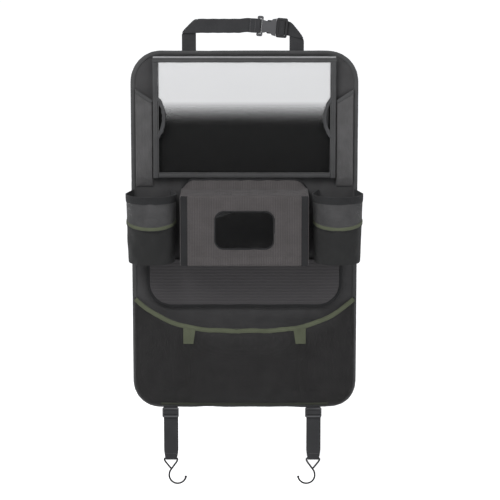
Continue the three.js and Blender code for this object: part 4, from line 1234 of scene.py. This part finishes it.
# %% [markdown]
# The olive tape follows the sheet's top edge, and a narrow one its foot. Each seam is a web of cloth
# between the panel and the sheet, under a tab that widens upwards.

# %% Lower pocket trim
TAB_HALF = 11
TAB_FOOT = 34
FOOT_RISE = 3.5

top_line = []
for step in range(121):
    x = (2 * step / 120 - 1) * (PANEL_HALF - 5)
    z = lower_top(min(max(x, -LOW_HALF), LOW_HALF)) - 3.6
    top_line.append(spot(x, lower_depth(x, min(z, lower_top(x))) + 0.1, z + 0.5 * math.sin(x / 9)))
olive_edge = band("lower_olive", Route(top_line), facing, oval(8.4, 3.0, 0.6), 260, 14, crumple=0.35)
dressed(olive_edge, olive_tape, "organizer", "olive_tape", "lower_binding")
foot_z = LOW_LOW + FOOT_RISE
foot_line = []
for x in range(-152, 153, 4):
    foot_line.append(spot(x, lower_depth(x, foot_z) + 0.8, foot_z + ripple(x, 0, 20, 0.8)))
foot_edge = band("lower_foot", Route(foot_line), facing, oval(4.4, 1.6, 0.6), 150, 10, crumple=0.2)
dressed(foot_edge, foot_tape, "organizer", "olive_tape")


def seam_tab(name, side):
    def place(u, v):
        inner = SEAM_X - TAB_HALF + 4 * (1 - v)
        x = side * (inner + (SEAM_X + TAB_HALF - inner) * u)
        top = lower_top(x) - 6
        z = lower_top(side * SEAM_X) - TAB_FOOT + (top - lower_top(side * SEAM_X) + TAB_FOOT) * v
        depth = lower_depth(x, z) - SEAM_PULL * seam_pull(x) + 1.9 + ripple(x, z, 16, 0.5)
        return at(x, depth, z)

    tab = laid(f"seam_tab_{name}", 16, 22, place)
    thick(tab, 0.9)
    dressed(tab, olive_tape, "organizer", "olive_tape", f"divider_tab_{name}")
    cloth_sheet(tab, "laid", "lower_net")


def seam_web(name, side):
    def place(u, v):
        x = side * SEAM_X
        z = LOW_LOW + 12 + (lower_top(x) - 10 - LOW_LOW - 12) * v
        reach = lower_depth(x, z) - 1.8 - ON_PANEL
        return at(x + 1.2 * math.sin(math.pi * u) * math.sin(z / 14), ON_PANEL + reach * u, z)

    web = laid(f"seam_web_{name}", 10, 40, place)
    thick(web, 0.8)
    dressed(web, cup_cloth, "organizer", "panel_fabric", f"divider_{name}")
    cloth_sheet(web, "stretched", "panel_cloth", "lower_net")


for name, side in (("left", -1), ("right", 1)):
    seam_tab(name, side)
    seam_web(name, side)

# %% [markdown]
# Webbing is flat and stiff, so it is modelled directly, as a grid bent along its path. At each end
# of the headrest strap it turns over along a slanting crease to run level.

# %% Headrest strap
STRAP_HALF = 12.5
LEFT_FOOT_X = span("top_strap_left")[0] + STRAP_HALF
RIGHT_FOOT_X = span("top_strap_right")[1] - STRAP_HALF
RUN_Z = PANEL_HIGH + 44
FOOT_DEPTH = 2.1
RUN_DEPTH = 5.2
BUCKLE_X = 24.5
BUCKLE_TILT = math.radians(5)
FOOT_LOW = PANEL_HIGH - 9
LOOP_REACH = 5.1
LOOP_DEPTH = 2.6
LAP_LENGTH = 16.5
STITCH_PITCH = 2.2
STRAP_COLUMNS, STRAP_ROWS = 260, 10


def tilted(along, across, depth):
    """A place measured along the buckle from its webbing bar."""
    x = BUCKLE_X + along * math.cos(BUCKLE_TILT) + across * math.sin(BUCKLE_TILT)
    z = RUN_Z - along * math.sin(BUCKLE_TILT) + across * math.cos(BUCKLE_TILT)
    return spot(x, depth, z)


def turned_over(x, crease, outwards, across):
    """The half turn of one thread where the webbing folds over, tucked in at the fold's two ends."""
    tuck = 1.6 * abs(across / STRAP_HALF) ** 6
    points = []
    for step in range(9):
        angle = math.radians(-90 + 180 * step / 8)
        depth = (FOOT_DEPTH + RUN_DEPTH) / 2 + (RUN_DEPTH - FOOT_DEPTH) / 2 * math.sin(angle)
        bulge = 0.7 * math.cos(angle) - tuck
        points.append(spot(x + outwards * bulge, depth, crease + bulge))
    return points


def left_strap_route(across):
    """One thread of the left half, from the panel to round the buckle's bar and back over itself."""
    x = LEFT_FOOT_X + across
    crease = RUN_Z + across
    points = [spot(x, FOOT_DEPTH, FOOT_LOW), spot(x, FOOT_DEPTH, crease - 2.5)]
    points += turned_over(x, crease, -1, across)
    points.append(spot(x + 3.5, RUN_DEPTH, crease))
    points.append(spot(BUCKLE_X - 34, RUN_DEPTH, crease))
    points.append(tilted(-LAP_LENGTH - 2, across, RUN_DEPTH))
    points.append(tilted(-5, across, RUN_DEPTH - 0.4))
    for step in range(9):
        angle = math.radians(-80 + 160 * step / 8)
        along = LOOP_REACH * math.cos(angle)
        points.append(tilted(along, across, RUN_DEPTH + LOOP_DEPTH * math.sin(angle)))
    points.append(tilted(-5, across, RUN_DEPTH + 1.6))
    points.append(tilted(-LAP_LENGTH, across, RUN_DEPTH + 1.4))
    return Route(points)


def ribbon_piece(name, route_of, half=STRAP_HALF):
    """Webbing laid thread by thread, each on its own route, with slightly uneven long edges."""
    routes = [route_of((2 * row / STRAP_ROWS - 1) * half) for row in range(STRAP_ROWS + 1)]
    length = routes[STRAP_ROWS // 2].length

    def place(u, v):
        edge = abs(2 * v - 1) ** 8
        point = routes[round(v * STRAP_ROWS)].place(u)
        return (point + spot(0, 0, 0.15 * edge * math.sin(u * length / 3))) * MM

    piece = laid(name, STRAP_COLUMNS, STRAP_ROWS, place)
    return thick(piece, 1.3)


left_strap = ribbon_piece("headrest_webbing_left", left_strap_route)
dressed(left_strap, strap_webbing, "organizer", "webbing", "top_strap_left")
for index, along in enumerate((-LAP_LENGTH + 2.5, -5.5)):
    half, depth = STRAP_HALF - 1.5, RUN_DEPTH + 2.1
    row = Route([tilted(along, -half, depth), tilted(along, half, depth)])
    stitches(f"lap_stitches_{index}", row, STITCH_PITCH)

# %% [markdown]
# The right half holds the plug, so its end has to travel with it. The webbing comes forwards through
# the plug's first slot, lies over a bar and goes back behind it.

# %% Right half of the headrest strap
PLUG_SLOT = 36.6
PLUG_END = 51.4
GIVE_X = 78
lean = math.tan(BUCKLE_TILT)
right_middle = RUN_Z - (RIGHT_FOOT_X - BUCKLE_X) * lean
right_rise = math.tan(math.pi / 4 + BUCKLE_TILT / 2)


def right_strap_route(across):
    """One thread, from the panel over the crease and level inwards, then round the plug's bar."""
    x = RIGHT_FOOT_X - across
    droop = 3.5 * ((STRAP_HALF - across) / (2 * STRAP_HALF)) ** 2
    crease = right_middle + across * right_rise - droop
    points = [spot(x, FOOT_DEPTH, FOOT_LOW), spot(x, FOOT_DEPTH, crease - 2.5)]
    points += turned_over(x, crease, 1, across)
    points.append(spot(x - 3.5, RUN_DEPTH, crease + 3.5 * lean + 0.3 * droop))
    points.append(tilted(PLUG_END + 1, across, RUN_DEPTH - 2.6))
    points.append(tilted(PLUG_SLOT + 2.4, across, RUN_DEPTH - 3.4))
    points.append(tilted(PLUG_SLOT + 0.2, across, RUN_DEPTH - 2.0))
    points.append(tilted(PLUG_SLOT, across, RUN_DEPTH + 1.2))
    points.append(tilted(PLUG_SLOT + 1.8, across, RUN_DEPTH + 2.4))
    points.append(tilted(PLUG_SLOT + 7.6, across, RUN_DEPTH + 2.4))
    points.append(tilted(PLUG_SLOT + 9.9, across, RUN_DEPTH + 1.2))
    points.append(tilted(PLUG_SLOT + 10.2, across, RUN_DEPTH - 0.8))
    points.append(tilted(PLUG_END + 1, across, RUN_DEPTH - 1.2))
    return Route(points)


right_strap = ribbon_piece("headrest_webbing_right", right_strap_route, STRAP_HALF + 0.3)
dressed(right_strap, strap_webbing, None, "webbing", "top_strap_right")
still = at(RIGHT_FOOT_X - STRAP_HALF - 0.4, RUN_DEPTH, RUN_Z - 5)
moving = at(GIVE_X, RUN_DEPTH, RUN_Z - 5)
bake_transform(right_strap)
print("webbing gives way between", round(still.x / MM, 1), "and", round(moving.x / MM, 1))

# %% [markdown]
# Moulded parts keep their measured shape. A copy of each has its doubled points merged and its
# edges rounded, because real moulded plastic never has a sharp edge and its highlights show it.


# %% Buckle and sliders
def rounded_copy(name, node_name, radius, material, body):
    piece = frame["nodes"][node_name].copy()
    piece.data = piece.data.copy()
    piece.parent = None
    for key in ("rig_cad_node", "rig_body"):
        if key in piece:
            del piece[key]
    piece.name = piece.data.name = name
    bpy.context.scene.collection.objects.link(piece)
    pick(piece)
    bpy.ops.object.mode_set(mode="EDIT")
    bpy.ops.mesh.select_all(action="SELECT")
    bpy.ops.mesh.remove_doubles(threshold=0.00001)
    bpy.ops.mesh.dissolve_limited(angle_limit=math.radians(2))
    bpy.ops.object.mode_set(mode="OBJECT")
    sharp = math.radians(30)
    modify(piece, "BEVEL", width=radius * MM, segments=3, angle_limit=sharp, limit_method="ANGLE")
    modify(piece, "TRIANGULATE")
    return dressed(piece, material, body, "buckle_plastic", node_name, angle=40)


rounded_copy("socket", "buckle_socket", 0.5, buckle_plastic, "organizer")
# The plug takes the darker plastic, with the webbing's shade painted in.
rounded_copy("plug", "buckle_plug", 0.4, shaded_plug_plastic, "plug")

# Two blocks fill the plug's root and its ledge under the webbing. Each has its place along the
# buckle, its length and width, how far it lies off the strap's depth, and its height.
PLUG_BLOCKS = {"plug_root": (30.2, 4.4, 22.8, 0, 4.6), "plug_ledge": (35.7, 1.3, 26, -2.9, 0.9)}
for name, (along, length, width, lift, height) in PLUG_BLOCKS.items():
    bpy.ops.object.select_all(action="DESELECT")
    bpy.ops.mesh.primitive_cube_add(size=1)
    block = bpy.context.object
    block.name = block.data.name = name
    for vertex in block.data.vertices:
        x, y, z = vertex.co
        vertex.co = tilted(along + length * x, width * z, RUN_DEPTH + lift - height * y) * MM
    modify(block, "BEVEL", width=0.3 * MM, segments=3)
    dressed(block, shaded_plug_plastic, "plug", "buckle_plastic", angle=40)
for name in ("left", "right"):
    rounded_copy(f"glide_{name}", f"slider_{name}", 0.5, buckle_plastic, f"glide_{name}")

# %% [markdown]
# Each lower strap comes out under the binding, passes behind the slider and turns round the hook's
# bar. The hump that shows over the slider's middle bar is a piece of its own, on the slider's body,
# so that it can travel with the slider.

# %% Lower straps
OUT_DEPTH = 4.2
BACK_DEPTH = 2.4
HOOK_DEPTH = 3.3
HOOK_Z = -422
SLIDER_HIGH, SLIDER_LOW = span("slider_left")[5], span("slider_left")[4]
SLIDER_Z = (SLIDER_HIGH + SLIDER_LOW) / 2
LOOP_HALF = 9.7
PRESSED_WIDER = 0.6
TURN_RADIUS = 2.6
WEBBING_WALL = 1.2
ANCHOR_HIGH = -290
ANCHOR_LOW = -313.5
ANCHOR_ROWS = (-291.5, -311)


def gathered(z):
    """Half width of the webbing, drawn together round the wire and pressed wide in the slider."""
    near = min(max((z - HOOK_Z) / 16, 0), 1)
    pressed = min(max(1 - (abs(z - SLIDER_Z) - 8) / 4, 0), 1)
    return LOOP_HALF + (STRAP_HALF - LOOP_HALF) * near**0.6 + PRESSED_WIDER * pressed


def lower_strap_route():
    """From its seam on the panel, under the binding, round the wire and up again behind."""
    points = [spot(0, ON_PANEL + 0.7, ANCHOR_HIGH), spot(0, ON_PANEL + 0.7, ANCHOR_LOW)]
    points += [spot(0, 2.4, ANCHOR_LOW - 5), spot(0, 2.4, PANEL_LOW + 0.8)]
    points += [spot(0, OUT_DEPTH, SLIDER_HIGH - 1)]
    points += [spot(0, OUT_DEPTH, SLIDER_LOW - 2), spot(0, OUT_DEPTH + 0.1, HOOK_Z + 8)]
    for step in range(11):
        angle = math.radians(-180 * step / 10)
        depth = HOOK_DEPTH + TURN_RADIUS * math.cos(angle)
        points.append(spot(0, depth, HOOK_Z + TURN_RADIUS * math.sin(angle)))
    points += [spot(0, BACK_DEPTH - 0.1, HOOK_Z + 8), spot(0, BACK_DEPTH, SLIDER_LOW + 3)]
    return Route(points)


lower_route = lower_strap_route()


def strap_middle(name):
    left, right = span(f"slider_{name}")[:2]
    return (left + right) / 2


def lower_webbing(name, middle):
    def place(u, v):
        point = lower_route.place(u)
        behind = min(max((HOOK_DEPTH + point.y) / 0.9, 0), 1) if u > 0.5 else 0
        x = middle + 1.1 * behind + (2 * v - 1) * gathered(point.z)
        return Vector((x, point.y, point.z)) * MM

    piece = laid(f"lower_webbing_{name}", 240, 10, place)
    thick(piece, WEBBING_WALL)
    dressed(piece, strap_webbing, None, "webbing", f"lower_strap_{name}")
    start, end = at(0, 0, PANEL_LOW + 1), at(0, 0, SLIDER_LOW - 6)
    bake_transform(piece)


def slider_hump(name, middle):
    """The webbing over the slider's middle bar, on the slider's own body."""
    upper = [(OUT_DEPTH + 0.7, 5.2), (7.0, 4.2), (9.2, 2.6)]
    below = [(depth, -rise) for depth, rise in reversed(upper)]
    outline = upper + [(9.9, 0)] + below
    route = Route([spot(0, depth, SLIDER_Z + rise) for depth, rise in outline])

    def place(u, v):
        point = route.place(u)
        return Vector((middle + (2 * v - 1) * (STRAP_HALF + PRESSED_WIDER), point.y, point.z)) * MM

    hump = laid(f"slider_webbing_{name}", 24, 8, place)
    thick(hump, WEBBING_WALL)
    modify(hump, "SUBSURF", levels=1, render_levels=1)
    dressed(hump, strap_webbing, f"glide_{name}", "webbing")


def strap_stitches(name, middle):
    """A row above the wire's loop, and two rows where the strap is sewn to the panel."""

    def row(half, depth, z):
        return Route([spot(middle - half, depth, z), spot(middle + half, depth, z)])

    loop_row = row(10, OUT_DEPTH + 0.7, HOOK_Z + 9)
    stitches(f"loop_stitches_{name}", loop_row, STITCH_PITCH, f"strap_{name}")
    for index, z in enumerate(ANCHOR_ROWS):
        stitches(f"anchor_stitches_{name}_{index}", row(11, ON_PANEL + 1.4, z), STITCH_PITCH)


for name in ("left", "right"):
    middle_x = strap_middle(name)
    lower_webbing(name, middle_x)
    slider_hump(name, middle_x)
    strap_stitches(name, middle_x)

# %% [markdown]
# A hook is one length of coated wire. It is bent into a triangle that holds the webbing and then
# into a wide J, and a ball at its end keeps it from scratching what it hooks on to.

# %% Hooks
HOOK_BAR_HALF = 14.4
HOOK_POINT = HOOK_Z - 19.7
WIRE = 1.65
BEND_X = 12
BEND_Z = HOOK_POINT - 13
BEND_RADIUS = 15.5
BEND_SWEEP = 165
BALL_RADIUS = 2.3
BALL_WAIST = -1.2
BALL_TAPER = 0.8


def smooth_line(points, passes=2):
    """Rounds the corners of an open line by cutting each of them, keeping its ends."""
    for _ in range(passes):
        cut = [points[0]]
        for start, end in zip(points, points[1:]):
            cut += [start.lerp(end, 0.25), start.lerp(end, 0.75)]
        points = cut + [points[-1]]
    return points


def hook(name, side):
    def there(across, z):
        return spot(strap_middle(name) - side * across, HOOK_DEPTH, z)

    line = [there(-0.4, HOOK_POINT + 0.6), there(-HOOK_BAR_HALF - 1.2, HOOK_Z)]
    line += [there(0, HOOK_Z), there(HOOK_BAR_HALF + 1.2, HOOK_Z), there(0.6, HOOK_POINT - 1)]
    line += [there(-2.6, HOOK_POINT - 6)]
    for step in range(12):
        angle = math.radians(180 + BEND_SWEEP * step / 11)
        line.append(there(BEND_X + BEND_RADIUS * math.cos(angle), BEND_Z + BEND_RADIUS * math.sin(angle)))
    route = Route(smooth_line(line))
    wire = band(f"hook_wire_{name}", route, facing, oval(2 * WIRE, 2 * WIRE, 1.0), 170, 12)
    dressed(wire, coated_wire, f"hanger_{name}", "coated_wire", f"hook_{name}")
    end_angle = math.radians(180 + BEND_SWEEP)
    tip_place = there(BEND_X + BEND_RADIUS * math.cos(end_angle), BEND_Z - BEND_RADIUS * 0.26 + 1) * MM
    bpy.ops.object.select_all(action="DESELECT")
    bpy.ops.mesh.primitive_uv_sphere_add(
        segments=24, ring_count=14, radius=BALL_RADIUS * MM, location=tip_place
    )
    tip = bpy.context.object
    tip.name = tip.data.name = f"hook_tip_{name}"
    for vertex in tip.data.vertices:
        if vertex.co.z < BALL_WAIST * MM:
            vertex.co.x *= BALL_TAPER
            vertex.co.y *= BALL_TAPER
    pick(tip)
    bpy.ops.object.transform_apply(location=True, rotation=True, scale=True)
    dressed(tip, coated_wire, f"hanger_{name}", "coated_wire")


hook("left", -1)
hook("right", 1)

# %% [markdown]
# The box of the measured solids is printed at the end.

# %% Sizes and the end
print("measured", [round(v, 4) for v in (*cad_low, *cad_high)])
